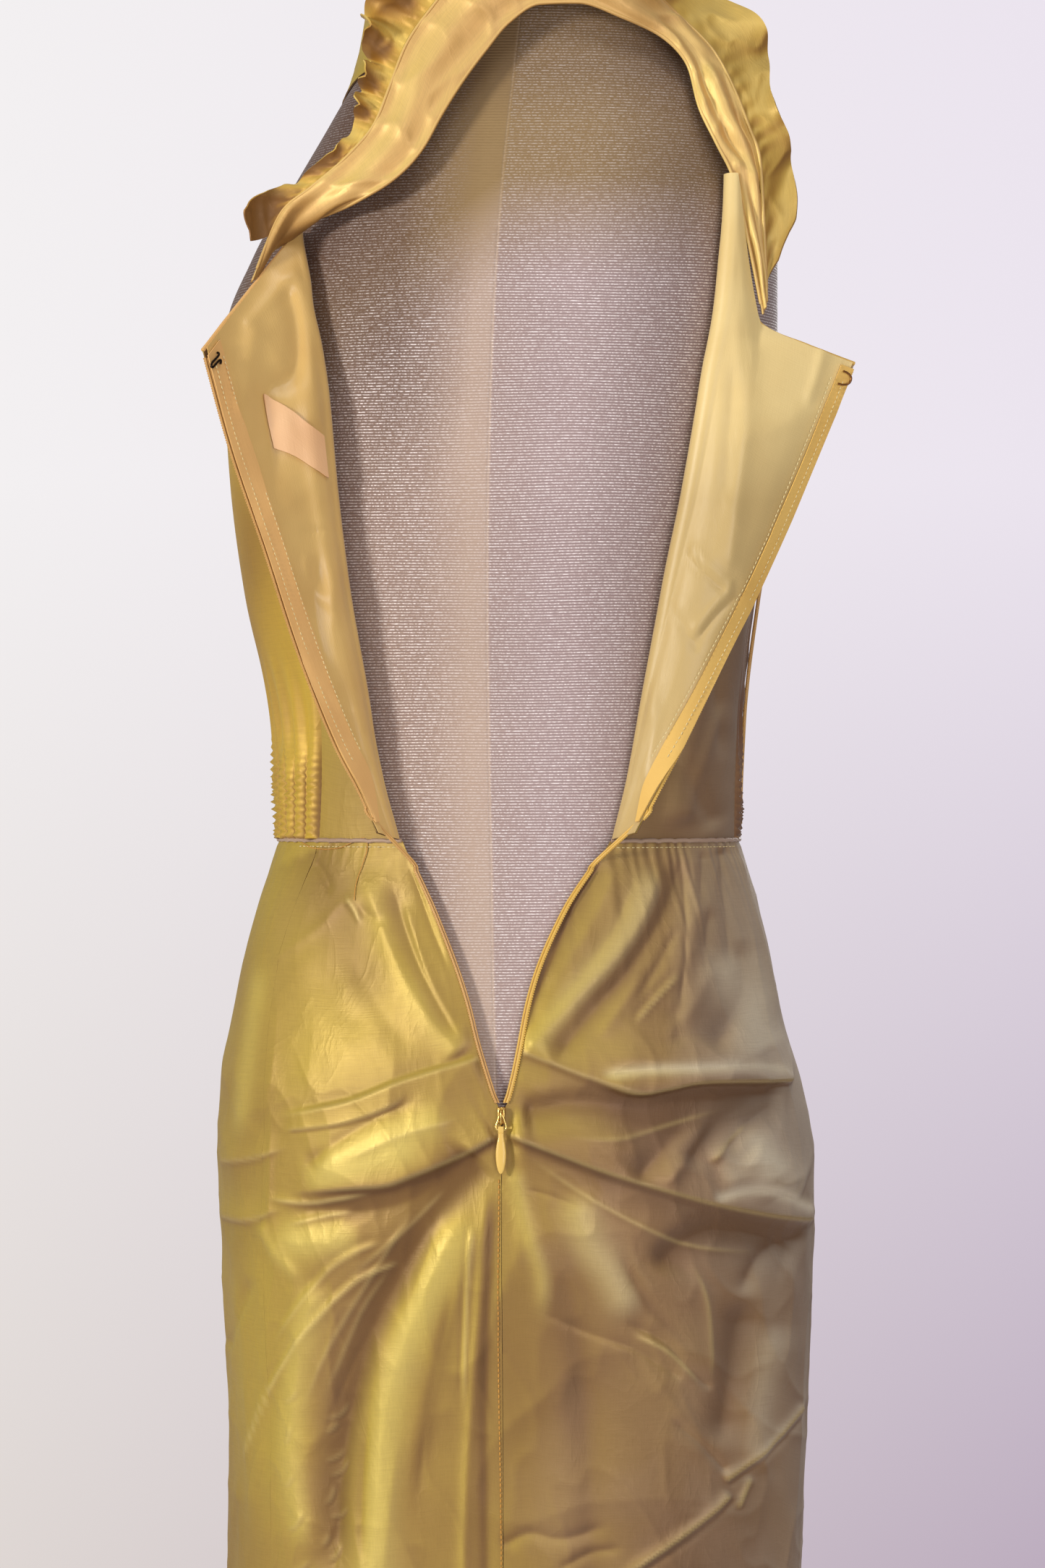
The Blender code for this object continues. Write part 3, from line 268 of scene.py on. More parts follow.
def foldField(folds, x, rise):
    # Lift off the cloth and slide within it, in metres, then its crests' painted highlight and its
    # painted shading.
    lift, slideX, slideZ, crestHighlights, paintedShadings = (np.zeros_like(x) for n in range(5))
    for values in folds:
        fold = Fold(*values)
        path = curveThrough(np.array(fold.line) / 1000, 5)
        reach = max(0.0032 * max(fold.above, fold.below), 0.05 if fold.brown else 0)
        low, high = path.min(axis=0) - reach, path.max(axis=0) + reach
        near = (x > low[0]) & (x < high[0]) & (rise > low[1]) & (rise < high[1])
        if not near.any():
            continue
        px, pz = x[near], rise[near]
        best, along = np.full(px.shape, 1e9), np.zeros_like(px)
        hand, runX, runZ = np.ones_like(px), np.ones_like(px), np.zeros_like(px)
        passed = 0.0
        for start, end in zip(path, path[1:]):
            run = end - start
            length = math.hypot(*run)
            run = run / length
            t = np.clip((px - start[0]) * run[0] + (pz - start[1]) * run[1], 0, length)
            dx, dz = px - start[0] - t * run[0], pz - start[1] - t * run[1]
            distance = np.hypot(dx, dz)
            closer = distance < best
            best = np.where(closer, distance, best)
            along = np.where(closer, passed + t, along)
            hand = np.where(closer, np.sign(run[0] * dz - run[1] * dx), hand)
            runX, runZ = np.where(closer, run[0], runX), np.where(closer, run[1], runZ)
            passed += length
        share = along / passed
        fade = ramp(share / fold.start) * ramp((1 - share) / fold.end)
        below = fold.below / 1000
        width = np.where(hand > 0, fold.above / 1000, below)
        crest = fade * np.exp(-(best / width) ** fold.sharp)
        trough = fade * np.where(hand > 0, 0, np.exp(-((best - 1.8 * below) / below) ** 2))
        lift[near] += (fold.high * crest - fold.dip * trough) / 1000
        slideX[near] += fold.lean * crest * runZ / 1000
        slideZ[near] -= fold.lean * crest * runX / 1000
        # Painted highlight along the crest of a raised fold that is narrow below.
        if fold.high > 0 and fold.below < 3:
            edge = np.exp(-(best / paintedLightWidths['crest']) ** 2) * (1 if fold.above < 3 else 0.7)
            crestHighlights[near] += fade * min(fold.high, 1.0) * edge
        # Painted shade in a wedge below a raised fold, widening away from the zip; any other fold paints
        # shade along its line, and a highlight where its value is negative.
        if fold.brown > 0 and fold.high > 0:
            wedge = paintedLightWidths['below'] + paintedLightWidths['widening'] * abs(px)
            above = np.exp(-best / paintedLightWidths['above'])
            tone = np.where(hand > 0, above, np.exp(-(best / wedge) ** 1.5))
            paintedShadings[near] += fold.brown * fade * tone
        elif fold.brown:
            paintedShadings[near] += fold.brown * fade * np.exp(-(best / width) ** 2)
    return lift, slideX, slideZ, crestHighlights, paintedShadings


def wrinkle(x, rise, size, seed, sharp=2.0):
    # Ridged noise from 0 to 1: crests like those of crisp silk between flatter facets.
    flat = [noise.noise((a, b, seed)) for a, b in zip((x / size).ravel(), (rise / size).ravel())]
    return (1 - np.minimum(abs(np.array(flat)) * 2, 1)).reshape(x.shape) ** sharp


# Soft dents and creases in the turned-back halves, over the same chart as the skirt's
flapFolds = {
    'left': [
        ([(-112, 292), (-105, 262), (-106, 240), (-119, 230), (-117, 203), (-112, 178)],
         -3.6, 7, 6, 0, 0, 1.7, 0.1, 0.2),
        ([(-98, 300), (-94, 262), (-93, 225), (-95, 205)], 2.2, 6, 7, 0, 0, 1.7, 0.15, 0.2),
        ([(-124, 270), (-127, 240), (-129, 212)], 1.6, 5, 6, 0, 0, 1.7, 0.2, 0.2),
        ([(-130, 262), (-120, 276), (-104, 298)], 1.0, 3, 4, 0, 0, 1.5, 0.1, 0.3),
        ([(-103, 158), (-92, 160), (-78, 162)], -0.8, 1.2, 1.2, 0, 0, 1.3, 0.1, 0.1),
        ([(-82, 150), (-86, 110), (-76, 70), (-66, 30)], 1.6, 5, 5, 0, 0, 1.6, 0.15, 0.2),
        ([(-92, 150), (-95, 118), (-86, 80)], -1.4, 4, 4, 0, 0, 1.6, 0.2, 0.3),
        ([(-100, 150), (-96, 132), (-84, 118)], 1.0, 3, 3, 0, 0, 1.5, 0.2, 0.3),
    ],
    'right': [
        ([(130, 262), (127, 220), (122, 175), (117, 134)], 1.6, 5, 6, 0, 0, 1.5, 0.1, 0.1),
        ([(121, 250), (118, 210), (114, 168)], -1.2, 5, 4, 0, 0, 1.6, 0.2, 0.2),
        ([(96, 152), (107, 142), (120, 130)], 1.2, 2.5, 2, 0.8, 0, 1.3, 0.15, 0.1),
        ([(98, 104), (108, 118), (120, 131)], 1.0, 2.5, 2, 0.8, 0, 1.3, 0.2, 0.1),
        ([(86, 120), (94, 112), (104, 96)], -1.0, 3, 3, 0, 0, 1.5, 0.2, 0.2),
        ([(128, 268), (146, 262), (164, 262)], -0.9, 2, 2, 0, 0, 1.4, 0.2, 0.2),
        ([(166, 256), (162, 240), (156, 222)], 1.2, 3, 3, 0, 0, 1.5, 0.1, 0.3),
        ([(76, 90), (80, 60), (74, 26)], 1.2, 4, 5, 0, 0, 1.6, 0.2, 0.2),
        ([(108, 330), (106, 290), (104, 250)], -1.0, 4, 4, 0, 0, 1.6, 0.2, 0.2),
    ],
}


# Creases in the layer of the right back that lies on the form
underFolds = [
    ([(118, 126), (106, 92), (94, 44), (86, 4)], 2.6, 7, 4, 0, 0, 1.4, 0.1, 0.1),
    ([(114, 74), (103, 46), (92, 8)], 2.0, 5, 3, 0, 0, 1.3, 0.2, 0.1),
    ([(84, 54), (96, 30), (110, 6)], -2.0, 5, 6, 0, 0, 1.5, 0.2, 0.1),
    ([(100, 110), (108, 84), (112, 40)], -1.6, 4, 4, 0, 0, 1.5, 0.2, 0.2),
]


def backPoint(half, across, down):
    # Across: 0 to 1 on the form from the side edge, 1 to 2 round the fold, 2 to 3 to the zip.
    across, down = np.broadcast_arrays(np.asarray(across, float), np.asarray(down, float))
    line = half.fold(down)
    nose = np.radians(line.angle)
    onForm = bodicePoint(nose, line.rise)
    tangent = unit(bodicePoint(nose + half.facing * 0.01, line.rise) - onForm)
    outward = np.stack([tangent[..., 1], -tangent[..., 0], np.zeros_like(nose)], axis=-1) * half.facing
    roll = line.roll[..., None]
    baseEnd = nose - half.facing * line.roll / np.linalg.norm(onForm[..., :2], axis=-1)
    start = bodicePoint(baseEnd, line.rise)
    zipEnd = half.zip(down)
    edge = np.stack([zipEnd.x, zipEnd.y, waist + zipEnd.rise], axis=-1)
    leaving = edge - start - 2 * roll * outward
    wholeTurn = np.arctan2((leaving * outward).sum(-1), (leaving * tangent).sum(-1)) % (2 * np.pi)
    turn = (wholeTurn * np.clip(across - 1, 0, 1))[..., None]
    rolled = start + roll * (tangent * np.sin(turn) + outward * (1 - np.cos(turn)))
    seams = bodiceSeamsAt(line.rise)
    side = np.radians((seams.left if half.facing > 0 else seams.right) + half.facing * seamTurn)
    under = between(side, baseEnd, np.clip(across, 0, 1))
    onBody = bodicePoint(under, line.rise)
    if half.facing < 0:
        crease = foldField(underFolds, onBody[..., 0], onBody[..., 2] - waist)[0]
        onBody = bodicePoint(under, line.rise, crease * ramp((1 - across) / 0.4) * ramp(across / 0.1))
    share = np.clip(across - 2, 0, 1)
    top, topStart, zipTop = half.top(share), half.top(0.0), half.zip(0.0)
    topPlace = np.stack([top.x, top.y, top.rise], axis=-1)
    ends = [np.array([row.x, row.y, row.rise]) for row in (topStart, zipTop)]
    share = share[..., None]
    lifted = (topPlace - between(ends[0], ends[1], share)) * (1 - down[..., None])
    swell = half.bulge * np.sin(np.pi * share) * np.sin(np.pi * down[..., None])
    flap = between(rolled, edge, share) + lifted - swell * inwards
    x, z, share = flap[..., 0], flap[..., 2], share[..., 0]
    lift = foldField(flapFolds[half.side], x, z - waist)[0]
    lift = 1.4 * lift + 0.0010 * (wrinkle(x, z, 0.045, 2.7) - 0.45)
    proud = ramp(share / 0.10) * ramp((1 - share) / 0.08)
    hump = np.exp(-((share - 0.16) / 0.16) ** 2) * np.sin(np.pi * np.clip(down * 0.93, 0, 1)) ** 0.6
    stand = half.proud * hump * ramp(share / 0.1)
    flap = flap - (lift * proud + stand)[..., None] * inwards
    across = across[..., None]
    return np.where(across <= 1, onBody, np.where(across <= 2, rolled, flap))


def frontPoint(across, down):
    # A patch between the front's four edges, all of them given on the body.
    def edge(row):
        return np.stack([row.angle, row.rise], axis=-1)

    def low(share):
        angle = between(frontRightAt(0.0).angle, frontLeftAt(0.0).angle, share)
        return np.stack([angle, np.full_like(angle, waistEdge)], axis=-1)
    right, left, top = frontRightAt(1 - down), frontLeftAt(1 - down), frontTopAt(across)
    a, d = across[..., None], down[..., None]
    corners = (
        (1 - a) * (1 - d) * edge(frontRightAt(1.0)) + a * (1 - d) * edge(frontLeftAt(1.0))
        + (1 - a) * d * low(np.array(0.0)) + a * d * low(np.array(1.0))
    )
    place = (1 - a) * edge(right) + a * edge(left) + (1 - d) * edge(top) + d * low(across) - corners
    out = right.out * ramp(1 - across / 0.25) + left.out * ramp((across - 0.75) / 0.25)
    return bodicePoint(np.radians(place[..., 0]), place[..., 1], out)


def bandPoint(across, down):
    line = bandAt(across)
    top = np.stack([line.topX, line.topY, waist + line.topRise], axis=-1)
    low = np.stack([line.lowX, line.lowY, waist + line.lowRise], axis=-1)
    bow = 0.0025 * np.sin(np.pi * down) * np.sin(np.pi * across)
    return between(top, low, down[..., None]) - bow[..., None] * inwards


# A row's tenth value, where there is one, is its painted shade; a negative one is a painted highlight.
skirtFolds = [
    # right of the zip: two deep tucks and the lens-shaped lips at their ends
    ([(10, -106), (29, -113), (50, -121), (80, -129)], 1.4, 14, 2.2, 0.1, 0.2, 1.3, 0.02, 0.3, 0.5),
    ([(48, -121), (71, -128), (88, -126), (107, -123), (150, -125)],
     3.6, 12, 2.0, 0.4, 0.9, 1.3, 0.25, 0.04, 0.8),
    ([(52, -120), (71, -117), (100, -116), (129, -116), (150, -121)],
     -1.2, 3.0, 3.0, 0, 0, 1.4, 0.1, 0.1, -0.9),
    ([(48, -105), (72, -111), (99, -115), (140, -113)], 2.2, 16, 8, 0, 0, 1.9, 0.25, 0.15),
    ([(12, -139), (44, -134), (74, -138), (103, -135), (146, -133)],
     -4.6, 7, 13, 0, 0, 1.7, 0.06, 0.05, 0.5),
    ([(8, -152), (45, -150), (80, -158)], 2.6, 10, 12, 0, 0, 2, 0.1, 0.3),
    ([(7, -149), (33, -159), (59, -169), (95, -181), (114, -187), (161, -200)],
     2.2, 12, 2.2, 0.2, 0.3, 1.3, 0.02, 0.02, 0.75),
    ([(108, -184), (127, -180), (142, -183), (162, -195)], -1.0, 3.0, 3.0, 0, 0, 1.4, 0.1, 0.1, -0.9),
    ([(112, -176), (130, -173), (155, -183)], 2.0, 12, 6, 0, 0, 1.8, 0.2, 0.1, -0.5),
    ([(44, -12), (30, -56), (14, -94)], 0.4, 13, 13, 0, 0, 1.8, 0.1, 0.2, 0.5),
    ([(112, -50), (126, -84), (134, -112)], 0.5, 12, 12, 0, 0, 1.8, 0.3, 0.1, -0.9),
    ([(132, -146), (134, -160), (142, -176)], 0.5, 7, 7, 0, 0, 1.8, 0.3, 0.2, -0.8),
    ([(60, -130), (90, -142), (120, -138)], -0.8, 9, 12, 0, 0, 1.8, 0.3, 0.3, 0.5),
    ([(82, -222), (93, -208), (112, -200), (140, -206), (157, -212)],
     -4.4, 7, 15, 0, 0, 1.7, 0.15, 0.1, 0.7),
    ([(70, -175), (88, -155), (106, -134)], -2.4, 8, 5, 0, 0, 1.6, 0.15, 0.2, 0.4),
    ([(96, -168), (110, -149), (140, -130)], -2.8, 5, 7, 0, 0, 1.6, 0.15, 0.15, 0.6),
    ([(84, -178), (100, -158), (113, -140)], 1.6, 5, 4, 0, 0, 1.5, 0.2, 0.3),
    ([(116, -162), (124, -151), (142, -138)], -2.0, 3, 4, 0, 0, 1.5, 0.2, 0.2),
    ([(108, -166), (120, -154), (130, -146)], 1.4, 3, 2.5, 0, 0, 1.4, 0.2, 0.2),
    ([(127, -160), (138, -170), (146, -184)], 2.0, 10, 8, 0, 0, 1.8, 0.2, 0.2),
    # right, above the tucks: gathers that fan from the waist to the zip's end
    ([(50, -6), (34, -46), (18, -80), (12, -102)], -1.8, 8, 5, 0, 0, 1.7, 0.1, 0.1, 0.5),
    ([(62, -8), (50, -38), (32, -68), (19, -94)], 1.0, 7, 6, 0, 0, 1.5, 0.2, 0.15),
    ([(71, -12), (60, -44), (42, -70), (24, -95)], -1.0, 5, 5, 0, 0, 1.5, 0.25, 0.15),
    ([(84, -10), (70, -46), (52, -68), (37, -84), (15, -108)], 3.0, 9, 9, 0, 0, 1.4, 0.15, 0.06, -0.5),
    ([(94, -8), (84, -38), (68, -66), (52, -85), (40, -100), (30, -114)],
     -2.6, 6, 9, 0, 0, 1.5, 0.12, 0.1, 0.5),
    ([(94, -14), (95, -51), (93, -92)], -0.9, 1.6, 1.6, 0, 0, 1.2, 0.15, 0.2),
    ([(101, -4), (100, -40), (88, -86)], 1.0, 7, 7, 0, 0, 1.6, 0.1, 0.3),
    ([(112, -4), (115, -32), (119, -68)], -1.8, 3, 3, 0, 0, 1.4, 0.05, 0.2),
    ([(122, -50), (124, -82), (108, -110)], -2.4, 5, 9, 0, 0, 1.6, 0.2, 0.15, 0.4),
    ([(103, -6), (102, -38)], -1.5, 3, 3, 0, 0, 1.4, 0.1, 0.4),
    ([(107, -34), (105, -62)], -1.2, 3, 3, 0, 0, 1.5, 0.3, 0.3),
    ([(92, -44), (83, -62), (70, -84)], -1.3, 4, 3, 0, 0, 1.5, 0.2, 0.3),
    ([(91, -82), (92, -107)], -1.0, 4, 4, 0, 0, 1.6, 0.3, 0.3),
    ([(93, -68), (83, -79), (70, -94)], 0.7, 1.4, 1.4, 0.5, 0, 1.2, 0.2, 0.2),
    ([(74, -70), (64, -84), (52, -102)], 1.0, 4, 3, 0, 0, 1.4, 0.2, 0.2),
    ([(110, -62), (100, -84), (84, -104)], 1.2, 6, 5, 0, 0, 1.6, 0.2, 0.2),
    ([(126, -6), (134, -50), (140, -100)], 1.6, 8, 8, 0, 0, 1.7, 0.05, 0.2),
    ([(14, -158), (52, -184), (96, -206), (140, -214)], 0.6, 2, 2, 0, 0, 1.4, 0.3, 0.3),
    ([(100, -214), (108, -240), (110, -280)], 0.7, 2.2, 2.2, 0, 0, 1.4, 0.3, 0.3),
    ([(62, -206), (78, -236), (100, -262)], -0.7, 3, 3, 0, 0, 1.5, 0.3, 0.3, 0.25),
    ([(34, -150), (62, -152), (88, -146), (118, -138)], 0.6, 2, 2, 0, 0, 1.4, 0.3, 0.3),
    # right, below the tucks
    ([(10, -165), (18, -200), (25, -222), (25, -250)], 1.2, 4, 5, 0, 0, 1.4, 0.1, 0.3, -0.5),
    ([(40, -176), (48, -204), (60, -222), (72, -246)], 1.4, 9, 9, 0, 0, 1.5, 0.2, 0.2, -0.6),
    ([(26, -188), (40, -235), (46, -290), (50, -400), (50, -640)],
     -1.6, 9, 9, 0, 0, 1.8, 0.2, 0.05, 0.25),
    ([(16, -177), (30, -181), (46, -188)], -0.6, 1.4, 1.4, 0, 0, 1.2, 0.2, 0.3),
    ([(18, -237), (36, -246), (55, -254), (73, -261), (97, -278)], -1.0, 3.5, 1.6, 0, 0, 1.3, 0.3, 0.1),
    ([(66, -245), (85, -256), (97, -270), (111, -283)], -1.4, 3, 1.7, 0, 0, 1.3, 0.2, 0.1),
    ([(70, -252), (88, -262), (104, -279)], 0.9, 2.2, 2.2, 0, 0, 1.3, 0.2, 0.2),
    ([(89, -296), (104, -310), (118, -327)], -1.3, 2.5, 1.7, 0, 0, 1.3, 0.2, 0.1),
    ([(72, -262), (92, -292), (110, -318)], 0.9, 4, 5, 0, 0, 1.4, 0.3, 0.2),
    ([(116, -330), (130, -320), (144, -308), (156, -296)], 1.5, 2.2, 2.0, 0.5, 0.2, 1.3, 0.03, 0.1),
    ([(60, -380), (84, -364), (96, -356), (109, -346), (119, -337)],
     1.9, 2.4, 2.2, 0.6, 0.3, 1.3, 0.25, 0.04),
    ([(122, -346), (129, -329)], 1.2, 1.6, 1.6, 0, 0, 1.3, 0.2, 0.2),
    ([(128, -234), (121, -262), (114, -315)], -2.8, 7, 9, 0, 0, 1.6, 0.2, 0.2, 0.6),
    ([(142, -250), (134, -290), (130, -330)], 1.8, 9, 7, 0, 0, 1.6, 0.2, 0.2, -0.4),
    ([(148, -208), (134, -217), (124, -236)], -2.2, 5, 4, 0, 0, 1.5, 0.1, 0.3),
    ([(2, -362), (17, -354), (35, -357), (60, -350)], -1.4, 3, 4, 0, 0, 1.4, 0.1, 0.2),
    ([(30, -374), (48, -365), (66, -362)], -1.1, 2, 3, 0, 0, 1.4, 0.2, 0.2),
    ([(100, -372), (110, -420), (112, -520), (112, -640)], -3.0, 10, 9, 0, 0, 1.8, 0.15, 0.05, 0.5),
    ([(82, -400), (84, -500), (84, -640)], 2.2, 14, 14, 0, 0, 1.8, 0.2, 0.05, -0.3),
    ([(96, -280), (100, -380), (96, -640)], -0.6, 34, 34, 0, 0, 1.8, 0.2, 0.02, 0.45),
    # left of the zip
    ([(-100, -4), (-80, -50), (-56, -92)], -1.0, 20, 20, 0, 0, 1.8, 0.03, 0.3, 0.6),
    ([(-104, -176), (-70, -166), (-34, -153)], 0.6, 8, 8, 0, 0, 1.8, 0.2, 0.2, -0.8),
    ([(-128, -60), (-134, -110), (-140, -160)], 0.6, 6, 6, 0, 0, 1.8, 0.2, 0.2, -0.5),
    ([(-30, -190), (-36, -214), (-48, -246)], 0.4, 5, 5, 0, 0, 1.8, 0.3, 0.3, 0.35),
    ([(-7, -111), (-46, -123), (-77, -135), (-118, -144)],
     2.0, 14, 1.8, 0.1, 0.2, 1.3, 0.02, 0.25, 0.3),
    ([(-112, -150), (-80, -145), (-52, -135), (-45, -126)], 0.8, 4, 1.2, 0.1, 0.3, 1.2, 0.1, 0.2),
    ([(-101, -168), (-84, -157), (-69, -147), (-48, -136), (-34, -133)],
     -1.0, 4, 6, 0, 0, 1.5, 0.1, 0.25, 0.45),
    ([(-96, -170), (-60, -152), (-20, -141)], 2.0, 9, 9, 0, 0, 1.8, 0.2, 0.2, -0.7),
    ([(-78, -165), (-48, -151), (-16, -141)], 0.5, 2, 2, 0, 0, 1.3, 0.25, 0.2),
    ([(-114, -183), (-76, -178), (-57, -176), (-45, -172), (-15, -159), (1, -150)],
     2.4, 14, 2.6, 0.1, 0.2, 1.3, 0.35, 0.03, 0.9),
    ([(-110, -190), (-70, -190), (-42, -183), (-8, -160)], -1.8, 6, 9, 0, 0, 1.6, 0.15, 0.05, 0.15),
    ([(-6, -160), (-25, -184), (-44, -212), (-65, -250), (-76, -285), (-84, -325), (-88, -400)],
     -5.0, 10, 12, 0, 0, 1.6, 0.03, 0.2, 0.9),
    ([(-50, -215), (-72, -226), (-93, -247), (-109, -268), (-127, -297), (-141, -330)],
     0.9, 2.6, 2.0, 0.2, 0, 1.3, 0.06, 0.1),
    ([(-58, -205), (-77, -214), (-93, -228), (-120, -264)], 0.6, 2.0, 2.0, 0.2, 0, 1.3, 0.1, 0.3),
    ([(-12, -184), (-24, -206), (-38, -238), (-50, -268), (-57, -300), (-62, -350), (-66, -420)],
     2.0, 10, 9, 0, 0, 1.5, 0.12, 0.15, -0.9),
    ([(-50, -300), (-54, -340), (-60, -390)], 0.8, 3, 4, 0, 0, 1.4, 0.3, 0.3),
    ([(-66, -290), (-70, -330), (-70, -380)], -1.0, 4, 4, 0, 0, 1.4, 0.3, 0.3, 0.4),
    ([(-8, -190), (-17, -225), (-26, -257), (-34, -290), (-44, -330)],
     1.2, 5, 7, 0, 0, 1.5, 0.15, 0.25),
    ([(-20, -225), (-28, -262), (-36, -300), (-42, -350)], -0.9, 4, 4, 0, 0, 1.5, 0.2, 0.3, 0.4),
    ([(-92, -226), (-99, -249), (-105, -280), (-108, -320), (-102, -357), (-92, -372)],
     2.2, 8, 8, 0, 0, 1.6, 0.1, 0.15, -0.6),
    ([(-11, -194), (-14, -238), (-16, -295)], 0.7, 1.2, 1.2, 0.5, 0, 1.2, 0.1, 0.3),
    ([(-3, -172), (-7, -232), (-11, -276), (-15, -338), (-16, -420), (-16, -640)],
     1.4, 4, 3, 0, 0, 1.4, 0.05, 0.02),
    ([(0, -178), (-3, -240), (-5, -300), (-5, -420), (-5, -640)],
     -1.2, 3.5, 3.5, 0, 0, 1.5, 0.05, 0.02, 0.5),
    ([(-126, -196), (-118, -212), (-100, -230)], 1.0, 4, 4, 0, 0, 1.5, 0.2, 0.3, -0.4),
    ([(-131, -228), (-142, -252), (-150, -270)], -2.0, 1.8, 2.4, 0, 0, 1.3, 0.2, 0.05),
    ([(-122, -186), (-100, -187), (-82, -184), (-62, -180)], 1.0, 2.4, 2.4, 0, 0, 1.4, 0.2, 0.3),
    ([(-112, -200), (-92, -194), (-72, -190)], 0.8, 2.4, 2.4, 0, 0, 1.4, 0.3, 0.3),
    ([(-122, -208), (-98, -206), (-66, -200)], 0.5, 9, 9, 0, 0, 1.8, 0.3, 0.3, -0.9),
    ([(-40, -186), (-64, -222), (-88, -262), (-104, -300)], 0.5, 1.6, 1.6, 0, 0, 1.3, 0.2, 0.3),
    ([(-52, -214), (-72, -244), (-92, -290)], 0.4, 1.6, 1.6, 0, 0, 1.3, 0.3, 0.3),
    ([(-60, -240), (-80, -276), (-96, -322)], -0.5, 2, 2, 0, 0, 1.3, 0.3, 0.3),
    ([(-24, -176), (-48, -200), (-78, -226)], 0.5, 1.8, 1.8, 0, 0, 1.3, 0.2, 0.3),
    # left, above the tucks
    ([(-124, -64), (-108, -54), (-94, -44), (-84, -33), (-68, -28)],
     0.8, 3.2, 3.0, 0, 0.2, 1.3, 0.1, 0.2),
    ([(-72, -14), (-55, -56), (-38, -84), (-16, -110)], 2.2, 8, 8, 0, 0, 1.5, 0.15, 0.05, -0.3),
    ([(-58, -20), (-44, -58), (-30, -84), (-17, -104)], -1.8, 5, 5, 0, 0, 1.5, 0.2, 0.15, 0.3),
    ([(-50, -30), (-34, -72), (-14, -104)], 1.4, 4, 4, 0, 0, 1.4, 0.15, 0.1),
    ([(-48, -10), (-36, -42), (-24, -70)], -0.8, 2, 2, 0, 0, 1.3, 0.2, 0.3),
    ([(-102, -10), (-94, -20), (-90, -30)], -1.4, 2.5, 2.5, 0, 0, 1.4, 0.2, 0.3),
    ([(-76, -34), (-66, -40), (-56, -42)], -1.0, 3, 3, 0, 0, 1.4, 0.3, 0.3),
    ([(-82, -28), (-76, -36), (-72, -44)], 1.0, 2, 2, 0, 0, 1.4, 0.3, 0.3),
    ([(-100, -60), (-84, -84), (-60, -102)], -1.2, 9, 9, 0, 0, 1.8, 0.3, 0.3),
    ([(-84, -50), (-66, -80), (-40, -112)], -1.0, 7, 7, 0, 0, 1.8, 0.3, 0.3),
    ([(-126, -78), (-122, -110), (-126, -150)], 0.8, 8, 9, 0, 0, 1.7, 0.3, 0.3),
    ([(-154, -170), (-132, -166), (-108, -158)], 1.0, 7, 1.8, 0, 0.2, 1.3, 0.05, 0.4, 0.15),
    ([(-154, -199), (-132, -198), (-112, -190)], 1.2, 8, 1.8, 0, 0.2, 1.3, 0.05, 0.4, 0.25),
]


def smallWrinkle(n):
    # One of the small slanting wrinkles low on the left back, each beside the last.
    x, rise = -112 + 26 * math.sin(n * 2.1) ** 2, -292 - 7.4 * n
    length = 9 + 5 * math.sin(n * 1.7)
    line = [(x, rise), (x + length * 0.6, rise + 3), (x + length, rise + 8 + 3 * (n % 2))]
    return line, 0.4, 1.6, 1.1, 0.3, 0, 1.2, 0.35, 0.35


skirtFolds += [smallWrinkle(n) for n in range(13)]

frontFolds = [
    ([(-150, -128), (-90, -142), (-20, -150), (50, -146), (150, -126)],
     3.0, 14, 3, 2, 1.5, 1.4, 0.05, 0.05),
    ([(-152, -170), (-80, -184), (10, -188), (90, -182), (158, -198)],
     2.6, 12, 3, 2, 1.2, 1.4, 0.05, 0.05),
    ([(-30, -10), (-46, -60), (-70, -120)], 2.0, 9, 7, 0, 0, 1.7, 0.1, 0.3),
    ([(24, -8), (40, -56), (66, -116)], 2.2, 8, 8, 0, 0, 1.7, 0.1, 0.3),
    ([(-4, -190), (-10, -280), (-6, -400), (-8, -640)], 2.5, 14, 14, 0, 0, 1.8, 0.15, 0.02),
    ([(-70, -200), (-78, -320), (-74, -640)], -2.5, 14, 14, 0, 0, 1.8, 0.15, 0.02),
    ([(64, -200), (74, -330), (70, -640)], -2.5, 13, 13, 0, 0, 1.8, 0.15, 0.02),
    ([(-120, -260), (-90, -330), (-40, -390)], 2.0, 6, 5, 0, 0, 1.4, 0.15, 0.2),
    ([(30, -250), (70, -270), (112, -310)], 1.8, 5, 3, 0, 0, 1.4, 0.2, 0.2),
]
gathers = {'pitch': 0.0085, 'depth': 0.0011, 'length': 0.020, 'hemWave': 0.0035, 'hemWaves': 7}


def gatherLift(angle, rise):
    # Puckers under the waist seam: short and shallow on the left back, long on the right.
    left = ramp((-angle + 0.1) / 0.2) * ramp((np.cos(angle) - 0.1) / 0.2)
    uneven = 0.55 + 0.45 * np.sin(23 * angle + 1.3) * np.sin(9.1 * angle)
    depth = gathers['depth'] * between(1.0, 0.45, left) * (0.5 + uneven)
    length = gathers['length'] * between(1.0, 0.35, left) * (0.4 + 1.2 * abs(np.sin(31 * angle)) ** 2)
    fan = angle * 0.12 + 0.004 * np.sin(9 * angle) + 0.002 * np.sin(23 * angle)
    fan += rise * 0.10 * np.sin(angle)
    puff = (0.5 - 0.5 * np.cos(2 * np.pi * fan / gathers['pitch'])) ** 1.3
    return depth * (puff - 0.3) * ramp(-rise / 0.004) * np.exp(-np.maximum(-rise, 0) / length)


